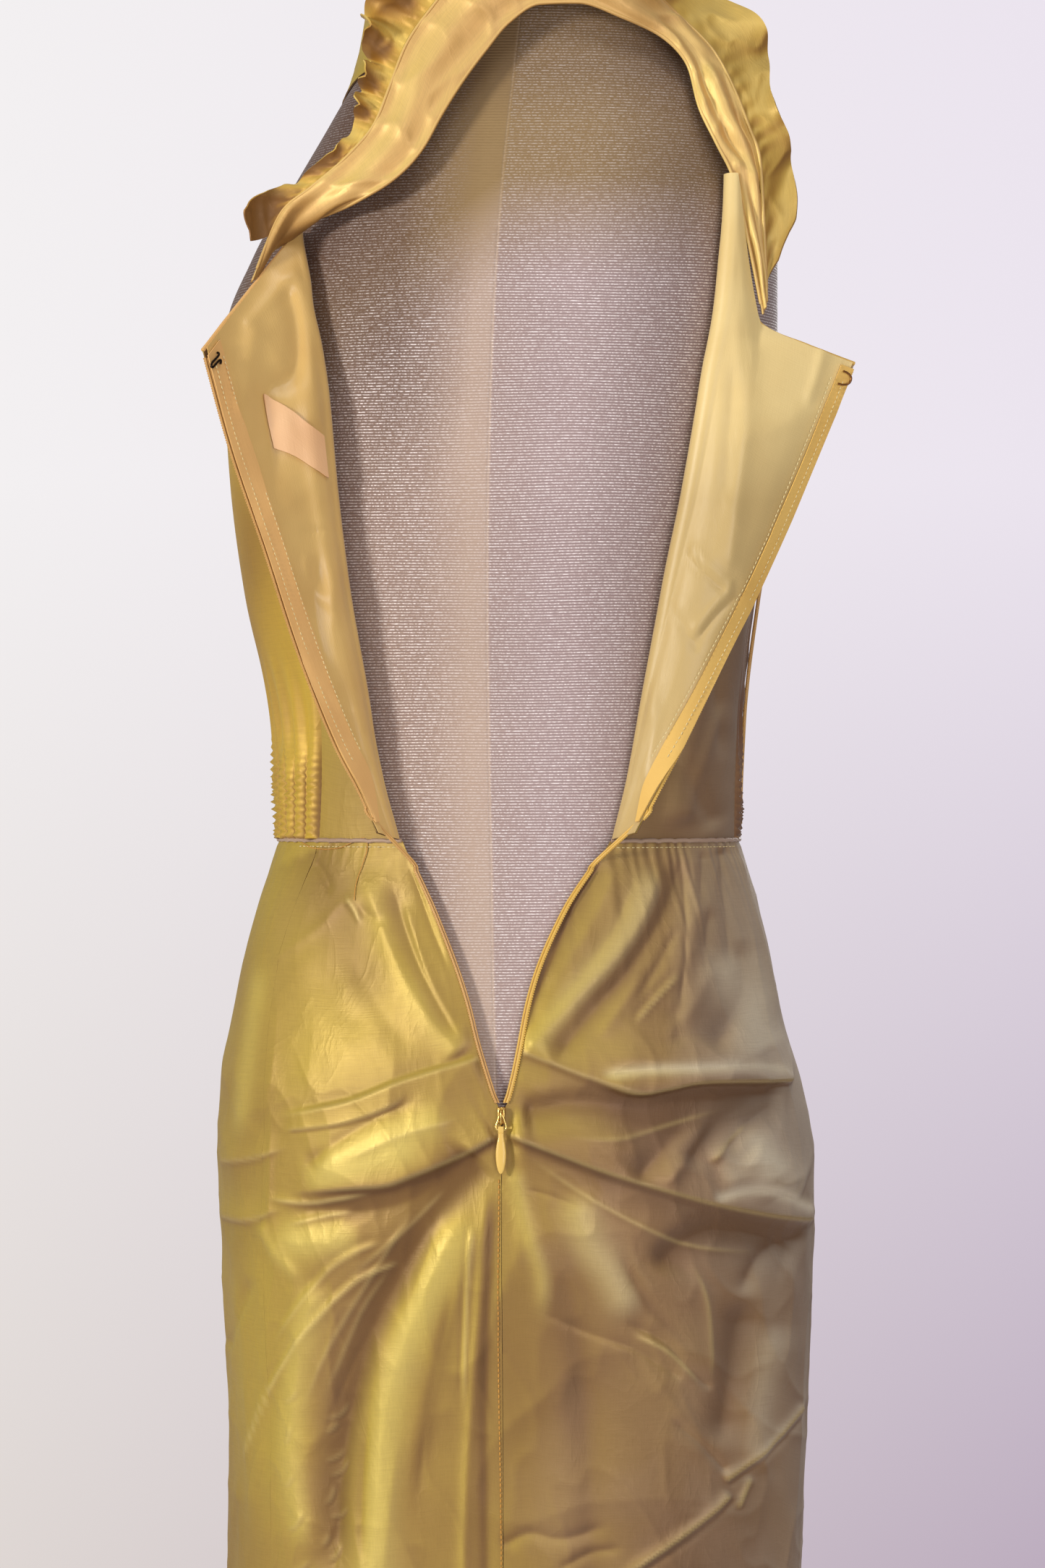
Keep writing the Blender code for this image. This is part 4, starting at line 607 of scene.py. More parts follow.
def skirtPoint(angle, rise):
    section = skirtAt(rise)
    plain = ring(section, angle)
    x, behind = plain[..., 0], np.cos(angle)
    keep = ramp((behind + 0.02) / 0.2)
    backLift, backX, backZ = foldField(skirtFolds, x, rise)[:3]
    frontLift, frontX, frontZ = foldField(frontFolds, x, rise)[:3]
    ahead = ramp((-behind - 0.02) / 0.2)
    lift = keep * backLift + ahead * frontLift
    hem = gathers['hemWave'] * np.sin(gathers['hemWaves'] * angle)
    lift += (1 - ramp((behind - 0.1) / 0.4)) * ramp(-rise / 0.6) * hem
    lift += gatherLift(angle, rise)
    crisp = ramp(-rise / 0.02) * (1 - 0.7 * ramp((rise + 0.125) / 0.02) * ramp(-x / 0.02))
    lift += 0.0009 * (wrinkle(x + 0.3 * behind, rise * 0.8, 0.055, 3.1) - 0.45) * crisp
    lift += 0.0004 * (wrinkle(x * 1.4 + rise * 0.5, rise * 0.7, 0.026, 8.4, 3.0) - 0.3) * crisp
    edges, degrees = openingAt(rise), np.degrees(angle)
    clear = ramp(np.minimum(abs(degrees - edges.left), abs(degrees - edges.right)) / 1.6)
    clear = np.where(rise > -0.15, clear, 1.0)
    lift = lift * clear
    room = np.linalg.norm((plain - ring(formAt(rise), angle))[..., :2], axis=-1)
    room = np.where(rise > formFoot, room, 0.03) - 0.0016
    lift = np.where(lift < 0, -room * np.tanh(-lift / np.maximum(room, 0.0004)), lift)
    found = ring(section, angle, lift, lift, lift)
    facing = np.maximum(abs(behind), 0.25)
    found[..., 0] += (keep * backX - ahead * frontX) * facing * clear
    found[..., 2] += (keep * backZ + ahead * frontZ) * ramp((rise + skirtLength) / 0.01)
    return found


def skirtPaintedLight(angle, rise):
    # Painted light for the back panels: the crests' painted highlight and the folds' painted shading.
    section = skirtAt(rise)
    keep = ramp((np.cos(angle) + 0.02) / 0.2)
    crest, brown = foldField(skirtFolds, ring(section, angle)[..., 0], rise)[3:]
    return {'crest': crest * keep, 'brown': np.clip(brown * keep, -1, 1)}


# Meshes

def setPoints(mesh, points):
    # Moves a grid's vertices, which create_grid made between -1 and 1, to a table of points.
    rows, columns = points.shape[:2]
    flat = np.empty(len(mesh.vertices) * 3)
    mesh.vertices.foreach_get('co', flat)
    flat = flat.reshape(-1, 3)
    column = np.rint((flat[:, 0] + 1) / 2 * (columns - 1)).astype(int)
    row = np.rint((flat[:, 1] + 1) / 2 * (rows - 1)).astype(int)
    mesh.vertices.foreach_set('co', points[row, column].ravel())
    corner = np.empty(len(mesh.loops), dtype=np.int32)
    mesh.loops.foreach_get('vertex_index', corner)
    return row, column, corner


def link(name, mesh, material):
    thing = bpy.data.objects.new(name, mesh)
    bpy.context.scene.collection.objects.link(thing)
    mesh.materials.append(material)
    return thing


def shell(name, points, material, wall=walls['silk'], facing=1, paintedTones=None):
    # A cloth through a table of points, with UVs in metres along it.
    rows, columns = points.shape[:2]
    bm = bmesh.new()
    bmesh.ops.create_grid(bm, x_segments=columns - 1, y_segments=rows - 1, size=1)
    if facing > 0:
        bmesh.ops.reverse_faces(bm, faces=bm.faces)
    for edge in bm.edges:
        edge.smooth = not edge.is_boundary
    bm.loops.layers.uv.new('cloth')
    mesh = bpy.data.meshes.new(name)
    bm.to_mesh(mesh)
    bm.free()
    row, column, corner = setPoints(mesh, points)
    across = np.linalg.norm(np.diff(points, axis=1), axis=-1)
    down = np.linalg.norm(np.diff(points, axis=0), axis=-1)
    u = np.hstack([np.zeros((rows, 1)), np.cumsum(across, axis=1)])
    u = u - u[:, -1:] / 2
    v = np.vstack([np.zeros((1, columns)), np.cumsum(down, axis=0)])
    uv = np.stack([u, -v], axis=-1)[row[corner], column[corner]]
    mesh.uv_layers['cloth'].data.foreach_set('uv', uv.ravel())
    # Painted light, as point attributes that the silk's material reads.
    for kind, tone in (paintedTones or {}).items():
        mesh.attributes.new(kind, 'FLOAT', 'POINT').data.foreach_set('value', tone[row, column])
    mesh.shade_smooth()
    thing = link(name, mesh, material)
    solid = thing.modifiers.new('wall', 'SOLIDIFY')
    solid.thickness = wall
    solid.offset = 0
    area = 0.5 * (across[:-1] + across[1:]) * 0.5 * (down[:, :-1] + down[:, 1:])
    thing['clothArea'] = float(area.sum())
    return thing


def lifted(points, lift, facing=1):
    # The surface moved along its outward normal.
    side = np.gradient(points, axis=1)
    fall = np.gradient(points, axis=0)
    normal = unit(np.cross(fall, side)) * facing
    return points + normal * np.broadcast_to(lift, points.shape[:2])[..., None]


def tube(name, points, radius, material, sides=8, closed=False):
    # A thread or wire along points, as a bevelled curve turned into a mesh.
    curve = bpy.data.curves.new(name, 'CURVE')
    curve.dimensions = '3D'
    curve.bevel_depth = radius
    curve.bevel_resolution = max(sides // 4, 1)
    curve.use_fill_caps = not closed
    spline = curve.splines.new('POLY')
    spline.points.add(len(points) - 1)
    for target, point in zip(spline.points, points):
        target.co = (*point, 1.0)
    spline.use_cyclic_u = closed
    return curveToMesh(name, curve, material)


def curveToMesh(name, curve, material):
    thing = bpy.data.objects.new(name, curve)
    bpy.context.scene.collection.objects.link(thing)
    bpy.context.view_layer.update()
    mesh = bpy.data.meshes.new_from_object(thing.evaluated_get(bpy.context.evaluated_depsgraph_get()))
    bpy.data.objects.remove(thing)
    mesh.materials.clear()
    mesh.shade_smooth()
    return link(name, mesh, material)


def stitches(name, path, length, gap, radius, material):
    # Short threads end to end along a path of points, in one mesh.
    path = np.asarray(path)
    steps = np.linalg.norm(np.diff(path, axis=0), axis=1)
    passed = np.concatenate([[0], np.cumsum(steps)])
    bm = bmesh.new()
    place = gap / 2
    while place + length < passed[-1]:
        ends = [np.array([np.interp(at, passed, path[:, n]) for n in range(3)])
                for at in (place, place + length)]
        start, end = (Vector(point) for point in ends)
        along = end - start
        turn = along.to_track_quat('Z', 'Y').to_matrix().to_4x4()
        made = bmesh.ops.create_uvsphere(bm, u_segments=6, v_segments=4, radius=1)
        size = Matrix.Diagonal((radius, radius, along.length * 0.55, 1))
        bmesh.ops.transform(bm, matrix=Matrix.Translation((start + end) / 2) @ turn @ size,
                            verts=made['verts'])
        place += length + gap
    mesh = bpy.data.meshes.new(name)
    bm.to_mesh(mesh)
    bm.free()
    mesh.shade_smooth()
    return link(name, mesh, material)


def loft(name, rings, material):
    # A closed solid through rings of points, [level, corner].
    levels, corners = rings.shape[:2]
    rings = np.concatenate([rings, rings[:, :1]], axis=1)
    bm = bmesh.new()
    bmesh.ops.create_grid(bm, x_segments=corners, y_segments=levels - 1, size=1)
    mesh = bpy.data.meshes.new(name)
    bm.to_mesh(mesh)
    setPoints(mesh, rings)
    bm.clear()
    bm.from_mesh(mesh)
    bmesh.ops.remove_doubles(bm, verts=bm.verts, dist=1e-6)
    bmesh.ops.holes_fill(bm, edges=bm.edges, sides=0)
    bmesh.ops.recalc_face_normals(bm, faces=bm.faces)
    bm.to_mesh(mesh)
    bm.free()
    mesh.shade_smooth()
    mesh.set_sharp_from_angle(angle=math.radians(50))
    return link(name, mesh, material)


def fasten(thing, node=None, body='dress'):
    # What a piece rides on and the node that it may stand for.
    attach(thing, body)
    if node:
        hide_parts(node)


def declare(thing, node, rests=('form_torso',)):
    # A sheet of cloth, fastened in place of its node. What it lies on, rests, is not used.
    fasten(thing, node)


# Materials

class Wire:
    # A node's output, on which sums write their own Math nodes.
    def __init__(self, paper, socket):
        self.paper, self.socket = paper, socket

    def maths(self, operation, *values):
        return self.paper.node('ShaderNodeMath', {'operation': operation}, dict(enumerate(values)))

    def __add__(self, other):
        return self.maths('ADD', self, other)

    def __sub__(self, other):
        return self.maths('SUBTRACT', self, other)

    def __rsub__(self, other):
        return self.maths('SUBTRACT', other, self)

    def __mul__(self, other):
        return self.maths('MULTIPLY', self, other)

    def __truediv__(self, other):
        return self.maths('DIVIDE', self, other)

    def __pow__(self, other):
        return self.maths('POWER', self, other)

    __radd__, __rmul__ = __add__, __mul__

    def clamped(self):
        return self.maths('MINIMUM', self.maths('MAXIMUM', self, 0.0), 1.0)

    def absolute(self):
        return self.maths('ABSOLUTE', self)


class Paper:
    # One material's node tree.
    def __init__(self, name):
        self.material = bpy.data.materials.new(name)
        self.material.use_nodes = True
        self.tree = self.material.node_tree
        self.shader = self.tree.nodes['Principled BSDF']

    def node(self, kind, settings=None, values=None, output=0):
        made = self.tree.nodes.new(kind)
        for key, value in (settings or {}).items():
            if key == 'stops':
                setStops(made.color_ramp, value)
            else:
                setattr(made, key, value)
        for key, value in (values or {}).items():
            socket = made.inputs[key]
            if isinstance(value, Wire):
                self.tree.links.new(value.socket, socket)
            else:
                socket.default_value = value
        return Wire(self, made.outputs[output])

    def mix(self, factor, first, second, blend='MIX'):
        settings = {'data_type': 'RGBA', 'blend_type': blend}
        return self.node('ShaderNodeMix', settings, {0: factor, 6: first, 7: second}, output=2)

    def scaled(self, vector, scale):
        return self.node('ShaderNodeVectorMath', {'operation': 'MULTIPLY'}, {0: vector, 1: scale})

    def noise(self, vector, scale, detail=2.0, rough=0.5, distortion=0.0):
        return self.node('ShaderNodeTexNoise', None, {
            'Vector': vector, 'Scale': scale, 'Detail': detail, 'Roughness': rough,
            'Distortion': distortion})

    def parts(self, vector):
        made = self.tree.nodes.new('ShaderNodeSeparateXYZ')
        self.tree.links.new(vector.socket, made.inputs[0])
        return [Wire(self, output) for output in made.outputs]

    def bump(self, height, distance, strength=1.0):
        values = {'Height': height, 'Distance': distance, 'Strength': strength}
        return self.node('ShaderNodeBump', None, values)

    def finish(self, **values):
        for key, value in values.items():
            socket = self.shader.inputs[key.replace('_', ' ')]
            if isinstance(value, Wire):
                self.tree.links.new(value.socket, socket)
            else:
                socket.default_value = value
        return self.material


def setStops(ramp, stops):
    while len(ramp.elements) > 1:
        ramp.elements.remove(ramp.elements[-1])
    for n, (place, colour) in enumerate(stops):
        element = ramp.elements[0] if n == 0 else ramp.elements.new(place)
        element.position = place
        element.color = colour


def rgb(red, green, blue):
    # A colour as seen on screen, 0 to 255, as the linear values that a shader takes.
    parts = [((v / 255 + 0.055) / 1.055) ** 2.4 if v > 10 else v / 3295 for v in (red, green, blue)]
    return (*parts, 1.0)


def shotSilk(name, stops, across, pale, drifting=1.0, turning=1.0):
    # Yellow one way and mauve-brown the other. It turns with the cloth, as its two threads do, and the
    # same turn paints light: lighter facing left and up towards the key light, darker facing right and
    # down.
    paper = Paper(name)
    cloth = paper.node('ShaderNodeUVMap', {'uv_map': 'cloth'})
    place = paper.node('ShaderNodeTexCoord', output=3)
    turnX, turnZ = paper.parts(paper.node('ShaderNodeNewGeometry', output=1))[::2]
    slub = paper.noise(paper.scaled(cloth, (60, 1500, 1)), 1.0, 2.0)
    warp = paper.noise(paper.scaled(cloth, (1800, 120, 1)), 1.0, 1.0)
    drift = paper.noise(paper.scaled(place, (1, 1, 0.7)), 9.0, 2.0, 0.5)
    patch = paper.noise(paper.scaled(place, (1, 1, 0.8)), 17.0, 2.0, 0.5, 0.4)
    x = paper.parts(place)[0]
    # Partly the shot weave and partly painted light: the ramp runs lighter and yellower on the lit left and
    # where the cloth faces left and up, darker on the right and where it faces right and down.
    local = turnX - x * 6.2
    # Two attributes carry painted light: crest is a painted highlight on sharp fold edges, and the other is
    # painted shading, shade where positive and highlight where negative.
    crest = paper.node('ShaderNodeAttribute', {'attribute_name': 'crest'}, output=2)
    brown = paper.node('ShaderNodeAttribute', {'attribute_name': 'brown'}, output=2)
    # Painted shade, darker towards the far left, where the cloth turns away.
    edge = ((x * -1.0 - 0.100) * 14.0).clamped() * 0.30
    turned = x * across + edge + (local * 0.62 - turnZ * 0.60) * turning
    turned = (turned + (drift - 0.5) * drifting + 0.48 + brown * 0.30).clamped()
    # A painted ivory highlight on the far right where the cloth faces up.
    ivoryHighlight = ((x - 0.085) * 18.0).clamped() * (turnZ * 2.2 + 0.30).clamped()
    ramped = [(n / (len(stops) - 1), rgb(*stop)) for n, stop in enumerate(stops)]
    shot = paper.node('ShaderNodeValToRGB', {'stops': ramped}, {0: turned})
    # Mauve patches at random, stronger to the right, and a mauve wash over the right side: partly the shot
    # weave and partly the lavender side light painted in.
    mauve = ((x + 0.010) * 12.0).clamped() * 0.22 + 0.12
    shot = paper.mix(((patch - 0.52) * 5.0).clamped() * mauve * drifting, shot, rgb(164, 134, 108))
    shot = paper.mix(((x - 0.012) * 12.0).clamped() * pale * 0.6, shot, rgb(160, 130, 106))
    shot = paper.mix(ivoryHighlight * pale, shot, rgb(218, 204, 180))
    # The painted highlight's colour, yellow on the left and ivory on the right. Then the painted shade, the
    # painted highlight and the crests' painted highlight are mixed in.
    light = paper.mix(((x - 0.02) * 12.0).clamped(), rgb(224, 202, 112), rgb(232, 220, 190))
    shot = paper.mix(brown.clamped() * 0.56, shot, rgb(92, 58, 20))
    shot = paper.mix((brown * -1.0).clamped() * 0.58, shot, light)
    shot = paper.mix((crest * 0.36).clamped(), shot, rgb(230, 206, 132))
    threads = slub * 0.6 + warp * 0.4
    colour = paper.mix(((threads - 0.40) * 2.0).clamped() * 0.25, shot, rgb(104, 76, 36))
    crease = paper.noise(paper.scaled(place, (1, 1, 0.6)), 30.0, 4.0, 0.55, 0.6)
    ridged = (1.0 - (crease - 0.5).absolute() * 5.0).clamped() ** 3.0
    height = threads * 0.00010 + ridged * 0.00014 + paper.noise(place, 14.0, 2.0) * 0.0005
    return paper.finish(
        Base_Color=colour, Roughness=0.50 - ridged * 0.04, Metallic=0.25,
        Normal=paper.bump(height, 1.0), Sheen_Weight=0.06, Sheen_Roughness=0.35,
        Sheen_Tint=rgb(250, 236, 200), Specular_IOR_Level=0.4)


def plainCloth(name, light, dark, rough=0.55, weave=1400, wavy=0.0006, low=None):
    paper = Paper(name)
    cloth = paper.node('ShaderNodeUVMap', {'uv_map': 'cloth'})
    place = paper.node('ShaderNodeTexCoord', output=3)
    weft = paper.noise(paper.scaled(cloth, (120, weave, 1)), 1.0, 1.0)
    warp = paper.noise(paper.scaled(cloth, (weave, 120, 1)), 1.0, 1.0)
    drift = paper.noise(place, 16.0, 3.0, 0.6)
    colour = paper.mix(((drift - 0.35) * 1.6).clamped(), light, dark)
    # Low darkens the cloth towards the bottom: painted shade.
    if low:
        colour = paper.mix(((waist + 0.225 - paper.parts(place)[2]) / 0.050).clamped(), colour, low)
    height = (weft + warp) * 0.00006 + drift * wavy
    return paper.finish(
        Base_Color=colour, Roughness=rough, Normal=paper.bump(height, 1.0),
        Sheen_Weight=0.2, Sheen_Roughness=0.4)


def jersey(name):
    # Ribbed knit with broken rows of a bright thread, darker in the grooves between rows as painted shade.
    # It is warmer left of its back seam and pinker to the right, partly the lavender side light painted in.
    # Above the nape it is smoother, and browner with the neck band's painted shadow. Dim is its painted
    # shade near the dress and the neck.
    paper = Paper(name)
    place = paper.node('ShaderNodeTexCoord', output=3)
    x, z = paper.parts(place)[::2]
    pitch = 0.0015
    sway = paper.noise(place, 9.0, 1.0) * 0.004
    turn = (z + sway) * (2 * math.pi / pitch)
    row = turn.maths('SINE', turn) * 0.5 + 0.5
    dash = paper.noise(paper.scaled(place, (900, 900, 1300)), 1.0, 1.0, 0.5)
    patch = paper.noise(place, 8.0, 2.0, 0.5)
    bright = ((row - 0.45) * 2.2).clamped() * ((dash - 0.40) * 3.4).clamped()
    rise = z - waist
    aside = x - (rise * rise * 0.136 - rise * 0.027 - 0.0053)
    away = aside.absolute()
    strip = ((aside + 0.034) / 0.024).clamped() * (1.0 - aside / 0.0016).clamped()
    seam = (1.0 - away / 0.0008).clamped() * ((dash - 0.30) * 4.0).clamped()
    napeShadow = ((rise - 0.290 - aside.maths('MINIMUM', aside, 0.0) * 0.8) / 0.054).clamped()
    # Painted shade: dim darkens the knit beside the dress's edges, deeper and wider higher up, and towards
    # the neck and the top left corner.
    high = ((rise - 0.150) / 0.100).clamped() * 0.52 + 0.20
    reach = 0.024 - ((rise - 0.170) / 0.060).clamped() * 0.014
    dim = ((aside * -1.0 - reach) / 0.040).clamped() * high + ((aside - 0.044) / 0.050).clamped() * 0.46
    corner = ((rise - 0.250) / 0.060).clamped() * ((aside * -1.0 - 0.030) / 0.060).clamped()
    dim = (dim + ((rise - 0.372) / 0.030).clamped() * 0.34 + corner * 0.30).clamped()
    # Warmer left of the seam and pinker right of it, partly the lavender side light painted in; random
    # darker patches; a lighter strip beside the seam.
    ground = paper.mix((aside * 16.0 + 0.5).clamped(), rgb(178, 152, 136), rgb(192, 169, 165))
    ground = paper.mix(((patch - 0.42) * 3.0).clamped() * 0.40, ground, rgb(128, 100, 98))
    ground = paper.mix(strip * 0.42, ground, rgb(206, 180, 150))
    # The neck band's painted shadow above the nape, then the painted shade dim.
    ground = paper.mix(napeShadow * 0.95, ground, rgb(142, 114, 66))
    ground = paper.mix(dim, ground, rgb(88, 58, 34))
    thin = 1.0 - strip * 0.5 - napeShadow * 0.60
    # Painted shade in the grooves between rows, less on the strip and above the nape.
    colour = paper.mix((1.0 - row) * 0.52 * thin, ground, rgb(92, 70, 66))
    colour = paper.mix(bright * 0.86 * thin, colour, rgb(252, 244, 240))
    colour = paper.mix(seam * 0.22, colour, rgb(216, 192, 168))
    height = row * 0.00018 + dash * 0.00010 - (1.0 - away / 0.0010).clamped() * 0.0003
    height = height + (1.0 - (napeShadow - 0.5).absolute() * 2.0) * 0.0016
    return paper.finish(
        Base_Color=colour, Roughness=0.62 - bright * 0.25, Metallic=bright * 0.2,
        Normal=paper.bump(height, 1.0), Sheen_Weight=0.15)


def metal(name, colour, dark, rough, metallic=1.0):
    paper = Paper(name)
    place = paper.node('ShaderNodeTexCoord', output=3)
    wear = paper.noise(place, 900.0, 3.0)
    fine = paper.noise(place, 4000.0, 2.0)
    return paper.finish(
        Base_Color=paper.mix(((wear - 0.45) * 2.0).clamped() * 0.5, colour, dark),
        Roughness=wear * 0.12 + (rough - 0.06), Metallic=metallic, Normal=paper.bump(fine, 0.00002))


def enamel(name, light, dark):
    paper = Paper(name)
    place = paper.node('ShaderNodeTexCoord', output=3)
    patch = paper.noise(place, 30.0, 4.0)
    fine = paper.noise(place, 260.0, 3.0)
    return paper.finish(
        Base_Color=paper.mix(((patch - 0.4) * 1.5).clamped() * 0.4, light, dark),
        Roughness=patch * 0.1 + 0.4, Normal=paper.bump(fine, 0.0002), Coat_Weight=0.2)


silk = shotSilk(
    'shotSilk', [(190, 163, 66), (177, 148, 66), (157, 125, 62), (134, 100, 54), (104, 74, 44)],
    2.9, 0.56)
silkBand = shotSilk(
    'shotSilkBand', [(240, 214, 122), (230, 196, 118), (216, 174, 106), (188, 142, 74), (146, 104, 52)],
    1.2, 0.0, 0.7, 0.5)
silkRuffle = shotSilk(
    'shotSilkRuffle', [(236, 202, 108), (218, 180, 84), (196, 152, 66), (168, 122, 54), (136, 94, 44)],
    0.9, 0.0, 0.5, 1.0)
# The next two are darker and lighter copies of the shot silk for the side panels: painted shade on the
# right panel, painted light on the left.
silkShade = shotSilk(
    'shotSilkShade', [(178, 138, 90), (156, 116, 74), (138, 99, 64), (122, 84, 56), (100, 68, 46)],
    1.0, 0.0)
silkLit = shotSilk(
    'shotSilkLit', [(224, 190, 74), (212, 176, 66), (190, 152, 62), (160, 122, 56), (120, 86, 48)],
    2.0, 0.0)
liningLeft = plainCloth('liningPeach', rgb(220, 182, 108), rgb(196, 152, 84), 0.33)
# The right lining is darker low down, with painted shade.
liningRight = plainCloth('liningPale', rgb(230, 204, 138), rgb(214, 182, 114), 0.44, low=rgb(196, 168, 108))
tapeLeft = plainCloth('tapePeach', rgb(226, 178, 108), rgb(206, 152, 84), 0.7, 700)
tapeRight = plainCloth('tapeYellow', rgb(226, 184, 96), rgb(206, 158, 72), 0.7, 700)
ribbonCloth = plainCloth('ribbonPeach', rgb(242, 194, 140), rgb(226, 170, 116), 0.45, 900)
coilGold = plainCloth('coilGold', rgb(220, 178, 80), rgb(190, 142, 58), 0.4)
coilPeach = plainCloth('coilPeach', rgb(204, 158, 88), rgb(174, 124, 62), 0.4)
piping = plainCloth('piping', rgb(176, 148, 122), rgb(150, 120, 100), 0.45)
threadGold = plainCloth('threadGold', rgb(206, 150, 58), rgb(170, 112, 40), 0.6)
threadPale = plainCloth('threadPale', rgb(226, 208, 150), rgb(190, 168, 110), 0.6)
knit = jersey('jerseyKnit')
gold = metal('goldPlate', rgb(246, 214, 128), rgb(214, 170, 86), 0.22)
goldDark = metal('goldShade', rgb(170, 126, 66), rgb(120, 82, 40), 0.35)
darkWire = metal('darkWire', rgb(46, 36, 32), rgb(26, 20, 18), 0.28)
bronzeWire = metal('bronzeWire', rgb(150, 104, 62), rgb(104, 66, 38), 0.35)
steel = metal('poleSteel', rgb(178, 178, 182), rgb(150, 150, 156), 0.3)
iron = enamel('baseEnamel', rgb(226, 222, 214), rgb(206, 200, 190))
enamelTab = enamel('tabEnamel', rgb(226, 186, 92), rgb(214, 170, 76))
print('materials made')


# Camera, light and floor

def makeStage():
    view = {'yaw': math.radians(5), 'distance': 2.7, 'across': 0.00405, 'height': 1.0693,
            'frameWidth': 1445 / 2590}
    back = Vector((math.sin(view['yaw']), -math.cos(view['yaw']), 0))
    right = Vector((math.cos(view['yaw']), math.sin(view['yaw']), 0))
    camera = bpy.data.objects.new('camera', bpy.data.cameras.new('camera'))
    bpy.context.scene.collection.objects.link(camera)
    camera.data.sensor_fit = 'HORIZONTAL'
    camera.data.sensor_width = 36
    camera.data.lens = 36 * view['distance'] / view['frameWidth']
    camera.location = right * view['across'] + Vector((0, 0, view['height'])) + back * view['distance']
    camera.rotation_euler = (-back).to_track_quat('-Z', 'Y').to_euler()
    bpy.context.scene.camera = camera

    bm = bmesh.new()
    bmesh.ops.create_circle(bm, cap_ends=True, radius=3.0, segments=96)
    mesh = bpy.data.meshes.new('floor')
    bm.to_mesh(mesh)
    bm.free()
    paper = Paper('floor')
    paper.finish(Base_Color=rgb(228, 226, 228), Roughness=0.8)
    link('floor', mesh, paper.material)

    lamps = [
        ('key', (-2.3, -2.3, 1.75), (0, 0, 1.05), 0.6, 68, (1.0, 0.97, 0.92)),
        ('fill', (1.2, -2.9, 1.3), (0, 0, 1.05), 1.3, 25, (0.97, 0.94, 1.0)),
        ('top', (0.6, -1.2, 3.2), (0, 0, 1.1), 1.0, 12, (1.0, 0.99, 0.97)),
        ('behind', (0.2, 2.4, 1.9), (0, 0, 1.1), 1.5, 30, (1.0, 1.0, 1.0)),
    ]
    for name, place, aim, size, power, colour in lamps:
        lamp = bpy.data.lights.new(name, 'AREA')
        lamp.shape = 'DISK'
        lamp.size = size
        lamp.energy = power
        lamp.color = colour
        thing = bpy.data.objects.new(name, lamp)
        bpy.context.scene.collection.objects.link(thing)
        thing.location = place
        thing.rotation_euler = (Vector(aim) - Vector(place)).to_track_quat('-Z', 'Y').to_euler()
    makeWorld()
    bpy.context.scene.view_settings.view_transform = 'Standard'


def makeWorld():
    # Even light from all round, and behind the dress a wall that falls off to lavender.
    world = bpy.data.worlds.new('studio')
    bpy.context.scene.world = world
    world.use_nodes = True
    nodes, links = world.node_tree.nodes, world.node_tree.links
    lit = nodes['Background']
    lit.inputs['Color'].default_value = rgb(236, 232, 238)
    lit.inputs['Strength'].default_value = 0.36
    seen = nodes.new('ShaderNodeBackground')
    direction, parts = nodes.new('ShaderNodeTexCoord'), nodes.new('ShaderNodeSeparateXYZ')
    links.new(direction.outputs['Generated'], parts.inputs[0])

    def blend(part, start, end, colours):
        span, mix = nodes.new('ShaderNodeMapRange'), nodes.new('ShaderNodeMix')
        span.inputs['From Min'].default_value = start
        span.inputs['From Max'].default_value = end
        mix.data_type = 'RGBA'
        links.new(parts.outputs[part], span.inputs['Value'])
        links.new(span.outputs[0], mix.inputs[0])
        for socket, colour in zip(mix.inputs[6:8], colours):
            if isinstance(colour, tuple):
                socket.default_value = colour
            else:
                links.new(colour, socket)
        return mix.outputs[2]
    high = blend(0, -0.19, 0.05, (rgb(243, 240, 241), rgb(234, 226, 238)))
    low = blend(0, -0.19, 0.02, (rgb(222, 214, 210), rgb(186, 170, 188)))
    links.new(blend(2, 0.06, -0.16, (high, low)), seen.inputs['Color'])
    ray, choose = nodes.new('ShaderNodeLightPath'), nodes.new('ShaderNodeMixShader')
    links.new(ray.outputs['Is Camera Ray'], choose.inputs[0])
    links.new(lit.outputs[0], choose.inputs[1])
    links.new(seen.outputs[0], choose.inputs[2])
    links.new(choose.outputs[0], nodes['World Output'].inputs[0])


makeStage()
print('stage made')


# Dress form and stand

def makeForm():
    around, tall = 144, 220
    turns = np.array(spread(0, 2 * np.pi, around))[:-1]
    angle, rise = np.meshgrid(turns, np.array(spread(formFoot, formTop, tall)))
    form = loft('jerseyForm', ring(formAt(rise), angle), knit)
    fasten(form, 'form_torso')


makeForm()
for node, material in (('stand_pole', steel), ('stand_base', iron)):
    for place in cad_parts[node].material_slots:
        place.material = material
print('form made')


# Skirt

